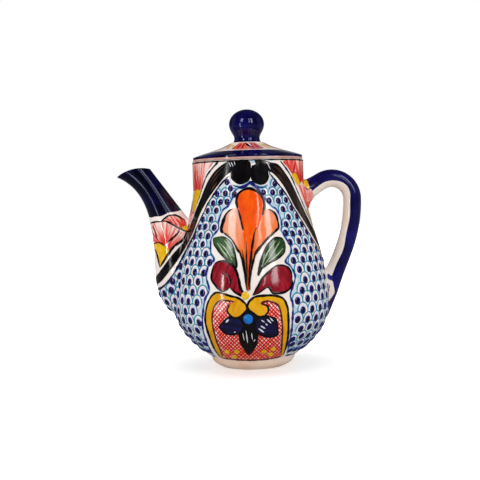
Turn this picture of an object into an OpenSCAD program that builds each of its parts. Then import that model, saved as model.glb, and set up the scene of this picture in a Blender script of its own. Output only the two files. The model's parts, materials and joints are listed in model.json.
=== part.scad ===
// Coffee pitcher: a hand-built ceramic pot with a lofted spout, an ear handle, fields of raised dots and a
// loose lid with a ball knob. The origin is the middle of the foot on the table. +Z is up, the spout points
// along -X, the handle along +X, and the painted front faces -Y.

/* [Body] */
// Height of the rim above the table
rim_z = 169; // [165:0.5:176]
// Outer radius of the neck
neck_r = 45.6; // [43:0.2:50]
// Height at which the shoulder becomes the neck
neck_z = 150; // [146:0.5:154]
// Outer radius of the belly
belly_r = 64; // [58:0.5:68]
// Height of the widest part of the belly
belly_z = 51; // [46:0.5:56]
// Thickness of the wall
wall = 5; // [4:0.1:6]
// Thickness of the floor
floor_t = 6; // [4:0.5:9]
// Chamfer on both edges of the rim
rim_chamfer = 1; // [0.4:0.1:1.6]

/* [Foot] */
// Height of the foot
foot_h = 9; // [7:0.5:11]
// Outer radius of the foot where it meets the body
foot_top_r = 34.5; // [32:0.5:38]
// Outer radius of the foot on the table
foot_r = 25.5; // [23:0.5:29]
// Width of the face that the foot stands on
foot_land = 5.5; // [3:0.5:7]
// Width of the top of the foot, under the body
foot_top_w = 10; // [7:0.5:13]

/* [Spout] */
// Distance from the pot's axis to the tip of the lip
spout_reach = 108.5; // [104:0.5:114]
// Height of the tip of the lip
lip_z = 158.9; // [155:0.1:163]
// Length of the mouth, from the tip of the lip back to its heel
mouth_len = 27.6; // [25:0.2:30]
// Rise of the mouth from the tip of the lip to its heel
mouth_rise = 6.2; // [4:0.2:9]
// Width of the mouth
mouth_w = 20; // [17:0.5:23]
// How far the sides of the mouth rise above the line from its tip to its heel
mouth_bow = 2.5; // [0:0.5:4]
// Height of the crotch between the spout and the body
crotch_z = 122.5; // [118:0.5:127]
// Height at which the chin under the spout leaves the belly
chin_z = 43; // [40:0.5:46]
// How far the chin swells out of the belly
chin_out = 14.5; // [10:0.5:17]
// Height of the spout's chest, where its front stands upright
chest_z = 88; // [84:0.5:92]
// How far the chest stands out from the body
chest_out = 20; // [17:0.5:23]
// Width of the spout at its root
root_w = 46; // [40:1:52]
// Thickness of the spout's wall
spout_wall = 3.6; // [3:0.1:4.2]
// Diameter of the hole that lets the coffee into the spout
pour_hole_d = 18; // [12:0.5:22]
// Height of the middle of that hole
pour_hole_z = 84; // [78:0.5:90]

/* [Handle] */
// Distance from the pot's axis to the outside of the handle
handle_reach = 92.9; // [88:0.1:97]
// Height of the top of the handle
handle_top_z = 160.3; // [156:0.1:164]
// Radius of the arch along the middle of the handle
arch_r = 17; // [15:0.5:19]
// Thickness of the handle, seen from the side
handle_t = 14.5; // [12:0.5:16]
// Width of the handle, seen from behind
handle_w = 18; // [14:0.5:22]
// Tilt of the upper root below the horizontal
upper_tilt = 30; // [20:1:36]
// Height at which the middle of the lower root meets the body
lower_root_z = 62; // [58:0.5:68]
// Lean of the lower root from the vertical
lower_lean = 23.6; // [20:0.2:27]
// How much wider the handle grows at its roots, as a share
root_flare = 0.2; // [0:0.05:0.4]
// How far the fillet under the upper root reaches down the neck
root_fillet = 8; // [0:0.5:10]

/* [Lid] */
// Outer radius of the lid
lid_r = 45; // [43:0.2:48]
// Thickness of the lid's edge
lid_edge = 3.4; // [2.4:0.1:4.4]
// Height of the flat under the knob, above the lid's underside
lid_rise = 15; // [12:0.5:18]
// Thickness of the lid's dome under the knob
lid_t = 5.5; // [4:0.5:8]
// Gap between the lid and the rim
lid_gap = 0.3; // [0.1:0.1:0.6]
// Depth of the flange in the neck
flange_h = 12; // [8:0.5:18]
// Thickness of the flange
flange_t = 3.6; // [3:0.2:5]
// Play between the flange and the neck
flange_play = 0.8; // [0.4:0.1:1.4]

/* [Knob] */
// Height of the knob
knob_h = 27.5; // [24:0.5:32]
// Radius of the ball
ball_r = 14.5; // [12:0.5:17]
// Height of the widest part of the ball above the knob's foot
ball_z = 15.2; // [13.5:0.1:17]
// Radius of the waist under the ball
waist_r = 10.5; // [8.5:0.5:11.5]
// Height of the waist above the knob's foot
waist_z = 3.6; // [2.5:0.1:5]
// Radius of the knob's foot
knob_foot_r = 11.8; // [10:0.2:13]

/* [Raised dots] */
// Width of a dot
dot_w = 4.9; // [4:0.1:5.6]
// Length of a dot, up the body
dot_len = 5.9; // [4.5:0.1:6.6]
// Height of a dot
dot_h = 0.8; // [0.5:0.1:1.4]
// Dots that would fill a row right round the body
dots_round = 38; // [34:1:42]
// Height between rows, for each millimetre between neighbours in a row
row_spread = 0.74; // [0.7:0.02:1.2]
// Least room between a dot and the row above it
dot_gap = 0.5; // [0.3:0.1:1.5]
// Height of the lowest row
first_row_z = 22; // [18:0.5:26]
// Height above which there are no rows
last_row_z = 146; // [138:0.5:150]
// Most that the hand strays from even rows
dot_stray = 0.5; // [0:0.1:0.8]

/* [Hidden] */
$fn = 128;

// Thickness of the slip that holds the spout, the handle and the dots to the body
slip_t = 0.1;
// Steps along one curve of an outline
curve_steps = 16;
// Share of a quarter ellipse's axes at which its curve's control points lie
round_share = 0.5523;
// Small overshoot that keeps a cut clear of the face it starts from
over = 1;

glaze_white = "#efe4d6";
cobalt = "#14125e";

// Heights of the loose lid's underside and of the flat that the knob stands on
lid_z = rim_z + lid_gap;
knob_z = lid_z + lid_rise;
neck_in_r = neck_r - wall;
floor_z = foot_h + floor_t;

// One point of the cubic curve with the control points a, b, c and d
function curve_point(a, b, c, d, t) =
    pow(1 - t, 3) * a + 3 * pow(1 - t, 2) * t * b + 3 * (1 - t) * t * t * c + pow(t, 3) * d;

// Points along that curve, without its last point, so that curves can follow each other
function curve(a, b, c, d, steps = curve_steps) =
    [for (i = [0 : steps - 1]) curve_point(a, b, c, d, i / steps)];

// Unit vector at right angles to the outline at its point i, to the right of its direction
function outward(outline, i) =
    let (
        before = outline[max(i - 1, 0)],
        after = outline[min(i + 1, len(outline) - 1)],
        along = (after - before) / norm(after - before)
    ) [along.y, -along.x];

// The outline moved outward by a distance
function moved_out(outline, distance) =
    [for (i = [0 : len(outline) - 1]) outline[i] + distance * outward(outline, i)];

// Body: outer outline as [radius, height], from the foot up to the top of the shoulder
bowl_start = [foot_top_r, foot_h];
belly = [belly_r, belly_z];
shoulder_end = [neck_r, neck_z];
bowl_rise = 18;
bowl_sweep = [15, 10];
shoulder_lift = 42;
shoulder_fall = 26;
outer_outline = concat(
    curve(bowl_start, bowl_start + bowl_sweep, belly - [0, bowl_rise], belly),
    curve(belly, belly + [0, shoulder_lift], shoulder_end - [0, shoulder_fall], shoulder_end),
    [shoulder_end]
);
inner_outline = [for (p = moved_out(outer_outline, -wall)) if (p.y > floor_z + over) p];

// Outer radius of the body at a height
radius_table = [for (p = outer_outline) [p.y, p.x]];
function body_r(z) = lookup(z, radius_table);

module body_shell() {
    floor_r = inner_outline[0].x - 2 * over;
    color(glaze_white)
    difference() {
        rotate_extrude()
        polygon(concat(
            [[0, foot_h]],
            outer_outline,
            [
                [neck_r, rim_z - rim_chamfer],
                [neck_r - rim_chamfer, rim_z],
                [neck_in_r + rim_chamfer, rim_z],
                [neck_in_r, rim_z - rim_chamfer]
            ],
            [for (i = [len(inner_outline) - 1 : -1 : 0]) inner_outline[i]],
            [[floor_r, floor_z], [0, floor_z]]
        ));
        translate([-body_r(pour_hole_z) - wall, 0, pour_hole_z])
        rotate([0, 90, 0])
        cylinder(d = pour_hole_d, h = 4 * wall);
    }
}

// The space that the body and its slip take up, for seating what is luted to it
module body_space() {
    rotate_extrude()
    polygon(concat(
        [[0, foot_h]],
        moved_out(outer_outline, slip_t),
        [[neck_r + slip_t, rim_z], [0, rim_z]]
    ));
}

// Foot: a turned ring with a rounded outside and a sloping inside
module foot_ring() {
    edge = [foot_r, 0];
    top = [foot_top_r, foot_h];
    reach = top - edge;
    color(glaze_white)
    rotate_extrude()
    polygon(concat(
        curve(edge, edge + [round_share * reach.x, 0.25 * reach.y], top - [0, round_share * reach.y], top),
        [top, [foot_top_r - foot_top_w, foot_h], [foot_r - foot_land, 0]]
    ));
}

// A closed solid through rings of points. All rings have the same even number of points, start in the
// XZ plane, are the same on both sides of it, and run clockwise as seen from the next ring.
module loft(rings) {
    sides = len(rings[0]);
    last = len(rings) - 1;
    walls = [
        for (i = [0 : last - 1], j = [0 : sides - 1])
            let (a = i * sides + j, b = i * sides + (j + 1) % sides)
            each [[a, a + sides, b + sides], [a, b + sides, b]]
    ];
    cap = concat(
        [[0, 1, sides - 1]],
        [for (j = [1 : sides / 2 - 2])
            each [[j, j + 1, sides - j - 1], [j, sides - j - 1, sides - j]]],
        [[sides / 2 - 1, sides / 2, sides / 2 + 1]]
    );
    last_cap = [for (f = cap) [f[2], f[1], f[0]] + last * sides * [1, 1, 1]];
    polyhedron([for (ring = rings) each ring], concat(walls, cap, last_cap));
}

// Spout: each ring is an ellipse whose long axis runs from the front line to the back line in the XZ plane
spout_sides = 28;
spout_rings = 26;
chin_share = 0.34;
root_depth = 20;
tip = [-spout_reach, lip_z];
heel = tip + [mouth_len, mouth_rise];
crotch = [-body_r(crotch_z), crotch_z];
back_start = crotch + root_depth * (crotch - heel) / norm(crotch - heel);
chest = [-body_r(chest_z) - chest_out, chest_z];
chin_start = [-body_r(chin_z) + wall, chin_z - 1];
chin_swell = [-body_r(chin_z) - chin_out, chin_z + 5];
chest_rise = 24;
lip_drop = 12.3;

function front_line(t) =
    t < chin_share
        ? curve_point(chin_start, chin_swell, chest - [0, 20], chest, t / chin_share)
        : curve_point(chest, chest + [-0.5, chest_rise], [chest.x - 1, lip_z - lip_drop], tip,
            (t - chin_share) / (1 - chin_share));
function back_line(t) = back_start + t * (heel - back_start);
function spout_w(t) = mouth_w + (root_w - mouth_w) * pow(1 - t, 2);

// Ring of the spout at t, from 0 at the root to 1 at the mouth, drawn in by an inset
function spout_ring(t, inset) =
    let (
        front = front_line(t),
        back = back_line(t),
        middle = (front + back) / 2,
        half = (norm(front - back) / 2 - inset) * (front - back) / norm(front - back),
        half_w = spout_w(t) / 2 - inset,
        bow = mouth_bow * pow(t, 6)
    )
    [for (j = [0 : spout_sides - 1])
        let (a = 360 * j / spout_sides)
        [middle.x + half.x * cos(a), -half_w * sin(a), middle.y + half.y * cos(a) + bow * pow(sin(a), 2)]];

// The bore runs on past the root and the mouth, so that it opens both
function bore_end(t, step) = [for (p = spout_ring(t, spout_wall)) p + step];

module spout() {
    color(cobalt)
    difference() {
        loft([for (i = [0 : spout_rings]) spout_ring(i / spout_rings, 0)]);
        loft(concat(
            [bore_end(0, [4 * over, 0, 0])],
            [for (i = [0 : spout_rings]) spout_ring(i / spout_rings, spout_wall)],
            [bore_end(1, [0, 0, 4 * over])]
        ));
        body_space();
    }
}

// Handle: an oval section swept along an arch and a long curve down to the lower root
handle_sides = 24;
arch_steps = 14;
drop_steps = 18;
root_steps = 7;
upper_root_len = 24;
lower_root_len = 22;
flare_len = 16;
fillet_len = 10;
section_power = 0.85;
arch_middle = [handle_reach - handle_t / 2 - arch_r, handle_top_z - handle_t / 2 - arch_r];
arch_end = arch_middle + [arch_r, 0];
lower_way = [-sin(lower_lean), -cos(lower_lean)];
lower_root = [body_r(lower_root_z), lower_root_z];
drop_pull = 30;
arch_start_angle = 90 + upper_tilt;
upper_way = [-cos(upper_tilt), -sin(upper_tilt)];
arch_start = arch_middle + arch_r * [cos(arch_start_angle), sin(arch_start_angle)];

handle_line = concat(
    [for (i = [root_steps : -1 : 1]) arch_start + i / root_steps * upper_root_len * upper_way],
    [for (i = [0 : arch_steps - 1])
        let (a = arch_start_angle * (1 - i / arch_steps)) arch_middle + arch_r * [cos(a), sin(a)]],
    curve(arch_end, arch_end - [0, drop_pull], lower_root - drop_pull * lower_way, lower_root, drop_steps),
    [for (i = [0 : root_steps]) lower_root + i / root_steps * lower_root_len * lower_way]
);

// Distance of a point of the handle's line from the body, along the radius
function clear_of_body(p) = p.y > neck_z ? p.x - neck_r : p.x - body_r(p.y);
function near_body(p, reach) = pow(1 - min(max(clear_of_body(p), 0) / reach, 1), 2);
function flare(p) = 1 + root_flare * near_body(p, flare_len);
function fillet(i) =
    i < root_steps + arch_steps ? root_fillet * near_body(handle_line[i], fillet_len) : 0;

function signed_power(x, power) = sign(x) * pow(abs(x), power);

// Ring of the handle at point i of its line, whose right side is the inside of the loop
function handle_ring(i) =
    let (p = handle_line[i], inward = outward(handle_line, i), size = flare(p))
    [for (j = [0 : handle_sides - 1])
        let (
            a = 360 * j / handle_sides,
            thick = size * handle_t / 2 * signed_power(cos(a), section_power) + fillet(i) * max(cos(a), 0),
            wide = size * handle_w / 2 * signed_power(sin(a), section_power)
        )
        [p.x + thick * inward.x, wide, p.y + thick * inward.y]];

module handle() {
    color(cobalt)
    difference() {
        loft([for (i = [0 : len(handle_line) - 1]) handle_ring(i)]);
        body_space();
    }
}

// Raised dots: low domes of coloured slip in staggered rows, in the two fields beside the painted front.
// Angles run from the front towards the handle or the spout, and the back has the same dots as the front.
dot_sides = 8;
dot_shoulder_w = 0.7;
dot_shoulder_h = 0.72;
stray_seed = 7;
// Share of a dot's width between its middle and the edge of its field
edge_overlap = 0.35;

// Edges of a field as [height, angle]: the flower panel on the front, and the band that falls from the neck
handle_field_front = [
    [12, 43], [22, 34], [40, 30], [62, 28], [76, 33], [89, 28], [99, 33], [112, 27], [124, 28], [132, 20],
    [147, 6]
];
handle_field_back = [[84, 90], [90, 79], [106, 63], [121, 52.5], [139, 40], [151, 28], [156, 20]];
spout_field_front = [
    [12, 56], [22, 46], [40, 40], [60, 36], [68, 32], [79, 35], [92, 30], [106, 35], [116, 29], [127, 27],
    [134, 20], [147, 6]
];
spout_field_back = [[84, 90], [102, 62], [114, 55], [126, 49], [139, 40], [150, 29], [156, 20]];

// Point on the body at an angle and a height, lifted off its surface
function on_body(angle, z, lift) =
    let (
        lean = body_r(z + 0.5) - body_r(z - 0.5),
        rise = lift / norm([1, lean]),
        r = body_r(z) + rise
    ) [r * sin(angle), -r * cos(angle), z - rise * lean];

// Angle that a distance along the body takes up at a height
function arc_angle(z, distance) = distance / body_r(z) * 180 / PI;

// Whether a dot lies within its field, apart from its mirror image and clear of both roots
function in_field(by_handle, angle, z) =
    let (
        margin = arc_angle(z, edge_overlap * dot_w),
        from_middle = body_r(z) * cos(angle) - dot_w,
        root_half_w = by_handle ? handle_w * (1 + root_flare) / 2 : root_w / 2,
        beside_root = by_handle
            ? z > lower_root_z - lower_root_len - dot_len && z < lower_root_z + lower_root_len + 2 * dot_len
            : z > chin_z - dot_len && z < crotch_z
    )
    angle > lookup(z, by_handle ? handle_field_front : spout_field_front) + margin
    && angle < lookup(z, by_handle ? handle_field_back : spout_field_back) - margin
    && from_middle > (beside_root ? root_half_w : 0);

// Heights of the rows, which close up towards the neck as neighbours do
function row_step(z) = max(row_spread * 2 * PI * body_r(z) / dots_round, dot_len + dot_gap);
function row_heights(z) = z > last_row_z ? [] : concat([z], row_heights(z + row_step(z)));
rows = row_heights(first_row_z);

// Places of the dots on the front, as [angle towards the handle, height]
dot_places = [
    for (row = [0 : len(rows) - 1], by_handle = [false, true], k = [0 : dots_round / 4])
        let (
            z = rows[row],
            angle = (k + row % 2 / 2) * 360 / dots_round,
            stray = rands(-dot_stray, dot_stray, 2, stray_seed + dots_round * row + (by_handle ? k : -k))
        )
        if (in_field(by_handle, angle, z))
            [(by_handle ? 1 : -1) * angle + arc_angle(z, stray[0]), z + stray[1]]
];

module slip_dot(angle, z) {
    function ring(share, lift) = [
        for (j = [0 : dot_sides - 1])
            let (
                a = 360 * j / dot_sides,
                across = share * dot_w / 2 * cos(a),
                up = share * dot_len / 2 * sin(a)
            )
            on_body(angle + arc_angle(z, across), z + up, slip_t + lift)
    ];
    seat = [for (j = [1 : dot_sides - 2]) [0, j, j + 1]];
    dome = [
        for (j = [0 : dot_sides - 1])
            let (next = (j + 1) % dot_sides, up = j + dot_sides, next_up = next + dot_sides)
            each [[j, up, next_up], [j, next_up, next], [up, 2 * dot_sides, next_up]]
    ];
    polyhedron(
        concat(ring(1, 0), ring(dot_shoulder_w, dot_shoulder_h * dot_h), [on_body(angle, z, slip_t + dot_h)]),
        concat(seat, dome)
    );
}

module slip_dots() {
    color(cobalt)
    for (place = dot_places, back = [0, 1])
        mirror([0, back, 0])
        slip_dot(place[0], place[1]);
}

// Lid: a dome with a thick edge, hollow underneath, and a flat on top for the knob
module lid_cover() {
    edge = [lid_r, lid_z + lid_edge];
    boss = [knob_foot_r + 1.7, knob_z];
    hollow_r = neck_in_r - flange_play - flange_t - over;
    color(glaze_white)
    rotate_extrude()
    polygon(concat(
        [[hollow_r, lid_z], [lid_r - rim_chamfer / 2, lid_z], [lid_r, lid_z + rim_chamfer / 2]],
        curve(edge, edge + [-7, 3.4], boss + [6.5, -5.4], boss),
        [boss, [0, knob_z]],
        curve([0, knob_z - lid_t], [0.4 * hollow_r, knob_z - lid_t], [0.85 * hollow_r, lid_z + 4],
            [hollow_r, lid_z])
    ));
}

module lid_flange() {
    flange_r = neck_in_r - flange_play;
    color(glaze_white)
    rotate_extrude()
    polygon([
        [flange_r - flange_t, lid_z],
        [flange_r - flange_t, lid_z - flange_h],
        [flange_r - rim_chamfer, lid_z - flange_h],
        [flange_r, lid_z - flange_h + rim_chamfer],
        [flange_r, lid_z]
    ]);
}

// Knob: a flattened ball on a waisted stalk
module lid_knob() {
    knob_foot = [knob_foot_r, knob_z];
    waist = [waist_r, knob_z + waist_z];
    ball = [ball_r, knob_z + ball_z];
    crown = [0, knob_z + knob_h];
    crown_h = knob_h - ball_z;
    color(cobalt)
    rotate_extrude()
    polygon(concat(
        [[0, knob_z]],
        curve(knob_foot, knob_foot + [-0.8, 1], waist - [0, 1.4], waist, 6),
        curve(waist, waist + [0, 3.6], ball - [0, 5.6], ball),
        curve(ball, ball + [0, round_share * crown_h], crown + [round_share * ball_r, 0], crown),
        [crown]
    ));
}

body_shell();
foot_ring();
spout();
handle();
slip_dots();
lid_cover();
lid_flange();
lid_knob();
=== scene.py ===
import json
import math
import random

import bpy
import numpy as np
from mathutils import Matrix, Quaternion, Vector
from mathutils.bvhtree import BVHTree
from mathutils.geometry import delaunay_2d_cdt
from mathutils.kdtree import KDTree

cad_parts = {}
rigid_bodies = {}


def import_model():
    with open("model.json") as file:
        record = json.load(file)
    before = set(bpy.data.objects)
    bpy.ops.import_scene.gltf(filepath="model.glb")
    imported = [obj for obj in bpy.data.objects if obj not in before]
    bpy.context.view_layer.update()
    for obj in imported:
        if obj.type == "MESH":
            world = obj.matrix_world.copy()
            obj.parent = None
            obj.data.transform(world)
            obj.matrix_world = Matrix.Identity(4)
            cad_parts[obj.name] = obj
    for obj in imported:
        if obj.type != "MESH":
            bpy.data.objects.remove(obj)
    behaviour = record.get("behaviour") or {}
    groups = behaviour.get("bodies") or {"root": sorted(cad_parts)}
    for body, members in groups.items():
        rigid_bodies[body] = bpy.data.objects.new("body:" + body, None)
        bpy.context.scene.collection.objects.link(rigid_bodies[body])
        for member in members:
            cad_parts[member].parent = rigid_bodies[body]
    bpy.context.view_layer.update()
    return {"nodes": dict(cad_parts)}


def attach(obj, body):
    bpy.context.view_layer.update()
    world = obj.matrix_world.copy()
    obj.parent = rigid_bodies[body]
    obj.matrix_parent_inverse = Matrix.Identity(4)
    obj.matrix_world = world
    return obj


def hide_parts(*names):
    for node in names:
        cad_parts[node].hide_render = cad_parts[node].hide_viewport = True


# The startup objects would count in the object's box
for leftover in list(bpy.data.objects):
    bpy.data.objects.remove(leftover, do_unlink=True)
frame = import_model()

MM = 0.001
dice = random.Random(11)


# The pot's form, in millimetres

def bezier(points, t):
    """Points of a cubic curve at the shares t of its way."""
    a, b, c, d = (np.array(p, float) for p in points)
    t = np.asarray(t, float)[..., None]
    return (1 - t) ** 3 * a + 3 * (1 - t) ** 2 * t * b + 3 * (1 - t) * t * t * c + t ** 3 * d


RUN = np.linspace(0, 1, 240)
NECK_R, RIM_Z = 45.6, 169.0
BELLY = ((34.5, 9), (49.5, 19), (64, 33), (64, 51))
SHOULDER = ((64, 51), (64, 93), (NECK_R, 124), (NECK_R, 150))
OUTLINE = np.vstack([bezier(BELLY, RUN), bezier(SHOULDER, RUN)[1:], [[NECK_R, RIM_Z]]])
LID_EDGE, LID_BOSS = (45.0, 172.7), (13.5, 184.3)
LID_TOP = bezier((LID_EDGE, (38.0, 176.1), (20.0, 178.9), LID_BOSS), RUN)


def radius(z):
    """Radius of the body's outside at a height."""
    return np.interp(z, OUTLINE[:, 1], OUTLINE[:, 0])


def slope(z):
    """How much the radius grows over a millimetre of height."""
    return radius(z + 0.5) - radius(z - 0.5)


def lid_height(r):
    """Height of the lid's top at a radius."""
    return np.interp(r, LID_TOP[::-1, 0], LID_TOP[::-1, 1])


def clear_of_body(p):
    """How far points stand out from the body."""
    return np.hypot(p[:, 0], p[:, 1]) - radius(p[:, 2])


class Pot:
    """The body's outside. Its points are (degrees from the front, height), flat ones (arc, height)."""

    def flat(self, points):
        p = np.array(points, float)
        return np.stack([np.radians(p[:, 0]) * radius(p[:, 1]), p[:, 1]], 1)

    def place(self, p, h):
        r, k = radius(p[:, 1]), slope(p[:, 1])
        a = p[:, 0] / r
        n = 1 / np.sqrt(1 + k * k)
        rr = r + h * n
        return np.stack([rr * np.sin(a), -rr * np.cos(a), p[:, 1] - h * k * n], 1)


class Side:
    """What is seen of some coats along a level direction. Its points and flat ones are (across, height)."""

    CLEAR = 150

    def __init__(self, *coats, along=(0, 1, 0)):
        self.along = Vector(along)
        self.across = self.along.cross(Vector((0, 0, 1)))
        points, faces = [], []
        for coat_points, coat_faces in coats:
            faces += [tuple(i + len(points) for i in face) for face in coat_faces]
            points += [tuple(p) for p in coat_points]
        self.tree = BVHTree.FromPolygons(points, faces)

    def flat(self, points):
        return np.array(points, float)

    def seen(self, x, z):
        """The point and normal that show at (x, z), or None beside the coats and on the pot's back."""
        start = self.across * x - self.along * self.CLEAR + Vector((0, 0, z))
        spot, normal, _, _ = self.tree.ray_cast(start, self.along)
        return None if spot is None or spot.y > 0 else (spot, normal)

    def place(self, p, h):
        out = np.zeros((len(p), 3))
        for i, (x, z) in enumerate(p):
            found = self.seen(x, z) or self.tree.find_nearest(self.across * x + Vector((0, 0, z)))
            out[i] = found[0] + found[1] * h[i]
            out[i, 1] = min(out[i, 1], 0.0)
        return out


class Patch:
    """Some coats round one spot, seen along the normal there. Its points are (across, up) from the spot."""

    REACH = 4.0

    def __init__(self, coats, spot, normal):
        self.coats, self.spot, self.normal = coats, Vector(spot), Vector(normal).normalized()
        self.across = Vector((0, 0, 1)).cross(self.normal).normalized()
        self.up = self.normal.cross(self.across)

    def flat(self, points):
        return np.array(points, float)

    def place(self, p, h):
        out = np.zeros((len(p), 3))
        for i, (across, up) in enumerate(p):
            start = self.spot + self.across * across + self.up * up + self.normal * self.REACH
            spot, normal, _, _ = self.coats.tree.ray_cast(start, -self.normal)
            if spot is None:
                spot, normal, _, _ = self.coats.tree.find_nearest(start)
            out[i] = spot + normal * h[i]
        return out


class Lid:
    """The lid's top. Its points are (degrees from the front, radius), its flat points (x, y)."""

    STEP = 0.4

    def flat(self, points):
        p = np.array(points, float)
        a = np.radians(p[:, 0])
        return np.stack([p[:, 1] * np.sin(a), -p[:, 1] * np.cos(a)], 1)

    def place(self, p, h):
        r = np.hypot(p[:, 0], p[:, 1])
        k = (lid_height(r + self.STEP) - lid_height(r - self.STEP)) / (2 * self.STEP)
        n = 1 / np.sqrt(1 + k * k)
        rr = r - h * k * n
        return np.stack([p[:, 0] / r * rr, p[:, 1] / r * rr, lid_height(r) + h * n], 1)


POT, LID = Pot(), Lid()


# Shader nodes

def linear(colour):
    """A colour that is given as red, green and blue from 0 to 255, as shaders take it."""
    parts = [c / 255 for c in colour]
    return (*[c / 12.92 if c <= 0.04045 else ((c + 0.055) / 1.055) ** 2.4 for c in parts], 1.0)


class Graph:
    """Shader nodes of a material or a world, made one by one."""

    def __init__(self, owner):
        owner.use_nodes = True
        self.owner = owner
        self.tree = owner.node_tree
        self.tree.nodes.clear()

    def node(self, kind, **settings):
        n = self.tree.nodes.new(kind)
        for key, value in settings.items():
            setattr(n, key, value)
        return n

    def feed(self, socket, value):
        """Link a socket to another one, or set its value. A tuple is a colour from 0 to 255."""
        if isinstance(value, bpy.types.NodeSocket):
            self.tree.links.new(value, socket)
        else:
            socket.default_value = linear(value) if isinstance(value, tuple) else value

    def feed_all(self, n, values):
        for key, value in values.items():
            self.feed(n.inputs[key], value)

    def math(self, operation, a, b=0.0):
        n = self.node("ShaderNodeMath", operation=operation)
        self.feed_all(n, {0: a, 1: b})
        return n.outputs[0]

    def plus(self, a, b):
        return self.math("ADD", a, b)

    def times(self, a, b):
        return self.math("MULTIPLY", a, b)

    def most(self, a, b):
        return self.math("MAXIMUM", a, b)

    def around_middle(self, value, middle, weight):
        return self.times(self.math("SUBTRACT", value, middle), weight)

    def attribute(self, name, output="Vector"):
        return self.node("ShaderNodeAttribute", attribute_name=name).outputs[output]

    def split(self, vector):
        n = self.node("ShaderNodeSeparateXYZ")
        self.feed(n.inputs[0], vector)
        return n.outputs[0], n.outputs[1], n.outputs[2]

    def join(self, *parts):
        n = self.node("ShaderNodeCombineXYZ")
        self.feed_all(n, dict(enumerate(parts)))
        return n.outputs[0]

    def place(self):
        return self.node("ShaderNodeTexCoord").outputs["Object"]

    def noise(self, vector, scale, detail=3.0, rough=0.55):
        n = self.node("ShaderNodeTexNoise")
        self.feed_all(n, {"Vector": vector, "Scale": scale, "Detail": detail, "Roughness": rough})
        return n.outputs["Fac"]

    def span(self, value, low, high, to_low=0.0, to_high=1.0):
        """The value's way from low to high, eased, as a way from to_low to to_high."""
        n = self.node("ShaderNodeMapRange", interpolation_type="SMOOTHSTEP")
        self.feed_all(n, {"Value": value, "From Min": low, "From Max": high})
        self.feed_all(n, {"To Min": to_low, "To Max": to_high})
        return n.outputs["Result"]

    def ramp(self, value, *stops):
        n = self.node("ShaderNodeValToRGB")
        e = n.color_ramp.elements
        while len(e) < len(stops):
            e.new(0.5)
        for item, (spot, colour) in zip(e, stops):
            item.position = spot
            item.color = linear(colour)
        self.feed(n.inputs[0], value)
        return n.outputs["Color"]

    def mix(self, factor, a, b):
        n = self.node("ShaderNodeMix", data_type="RGBA")
        self.feed(n.inputs["Factor"], factor)
        for socket, colour in zip([s for s in n.inputs if s.type == "RGBA"], (a, b)):
            self.feed(socket, colour)
        return [s for s in n.outputs if s.type == "RGBA"][0]


class Glaze(Graph):
    """A material of one principled shader."""

    GLASS_IOR, BUMP_DEPTH, BRUSH_RELIEF, TONE_STEP = 1.5, 0.0006, 0.6, 31.0
    SHEEN, WAVES = (90.0, 4.0), (260.0, 2.0)

    def __init__(self, name):
        super().__init__(bpy.data.materials.new(name))
        self.shader = self.node("ShaderNodeBsdfPrincipled")
        out = self.node("ShaderNodeOutputMaterial")
        self.feed(out.inputs[0], self.shader.outputs[0])

    def glossy(self, colour, rough=(0.07, 0.16), bump=0.05, relief=None):
        """The colour, an uneven sheen, and the faint waviness of a fired coat."""
        place = self.place()
        sheen = self.span(self.noise(place, *self.SHEEN), 0.3, 0.7, *rough)
        height = self.noise(place, *self.WAVES)
        if relief is not None:
            height = self.plus(height, self.times(relief, self.BRUSH_RELIEF))
        b = self.node("ShaderNodeBump")
        self.feed_all(b, {"Strength": bump, "Distance": self.BUMP_DEPTH, "Height": height})
        self.feed_all(self.shader, {"Base Color": colour, "Roughness": sheen, "Normal": b.outputs[0],
                                    "IOR": self.GLASS_IOR})
        return self.owner

    def streaks(self, stretch):
        """Brush streaks, other ones in each stroke."""
        along, across, _ = self.split(self.attribute("brush"))
        tone = self.attribute("tone", "Fac")
        spot = self.join(self.times(along, stretch[0]), self.times(across, stretch[1]),
                         self.times(tone, self.TONE_STEP))
        return self.noise(spot, 1.0, 3.0, 0.6)


# Glazes and paints: their colours run from dark to pale

CREAM, PALE_CREAM, WHITE, SPECK = (242, 224, 210), (248, 233, 223), (253, 244, 238), (160, 126, 108)
CLOUDS, SPECKS = (38.0, 5.0, 0.6), (900.0, 2.0)
RUN_STRETCH, BLUE_SHEEN = (700.0, 700.0, 90.0), (0.62, 0.67, 1.0, 1.0)


def cream_glaze(name, low, high):
    """Warm white glaze, clouded and finely specked."""
    g = Glaze(name)
    place = g.place()
    colour = g.ramp(g.noise(place, *CLOUDS), (0.32, low), (0.55, high), (0.78, WHITE))
    speck = g.span(g.noise(place, *SPECKS), 0.70, 0.80, 0.0, 0.35)
    return g.glossy(g.mix(speck, colour, SPECK))


def cobalt_glaze(name, deep, body, pale, rough, gloss=0.5):
    """Thick blue glaze with clouds and with runs down the pot."""
    g = Glaze(name)
    place = g.place()
    runs = g.join(*[g.times(v, k) for v, k in zip(g.split(place), RUN_STRETCH)])
    cloud = g.times(g.noise(place, 55.0, 5.0, 0.65), 0.7)
    depth = g.plus(cloud, g.times(g.noise(runs, 1.0), 0.3))
    g.shader.inputs["Specular Tint"].default_value = BLUE_SHEEN
    g.shader.inputs["Specular IOR Level"].default_value = gloss
    return g.glossy(g.ramp(depth, (0.36, deep), (0.52, body), (0.72, pale)), rough, 0.03)


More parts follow.
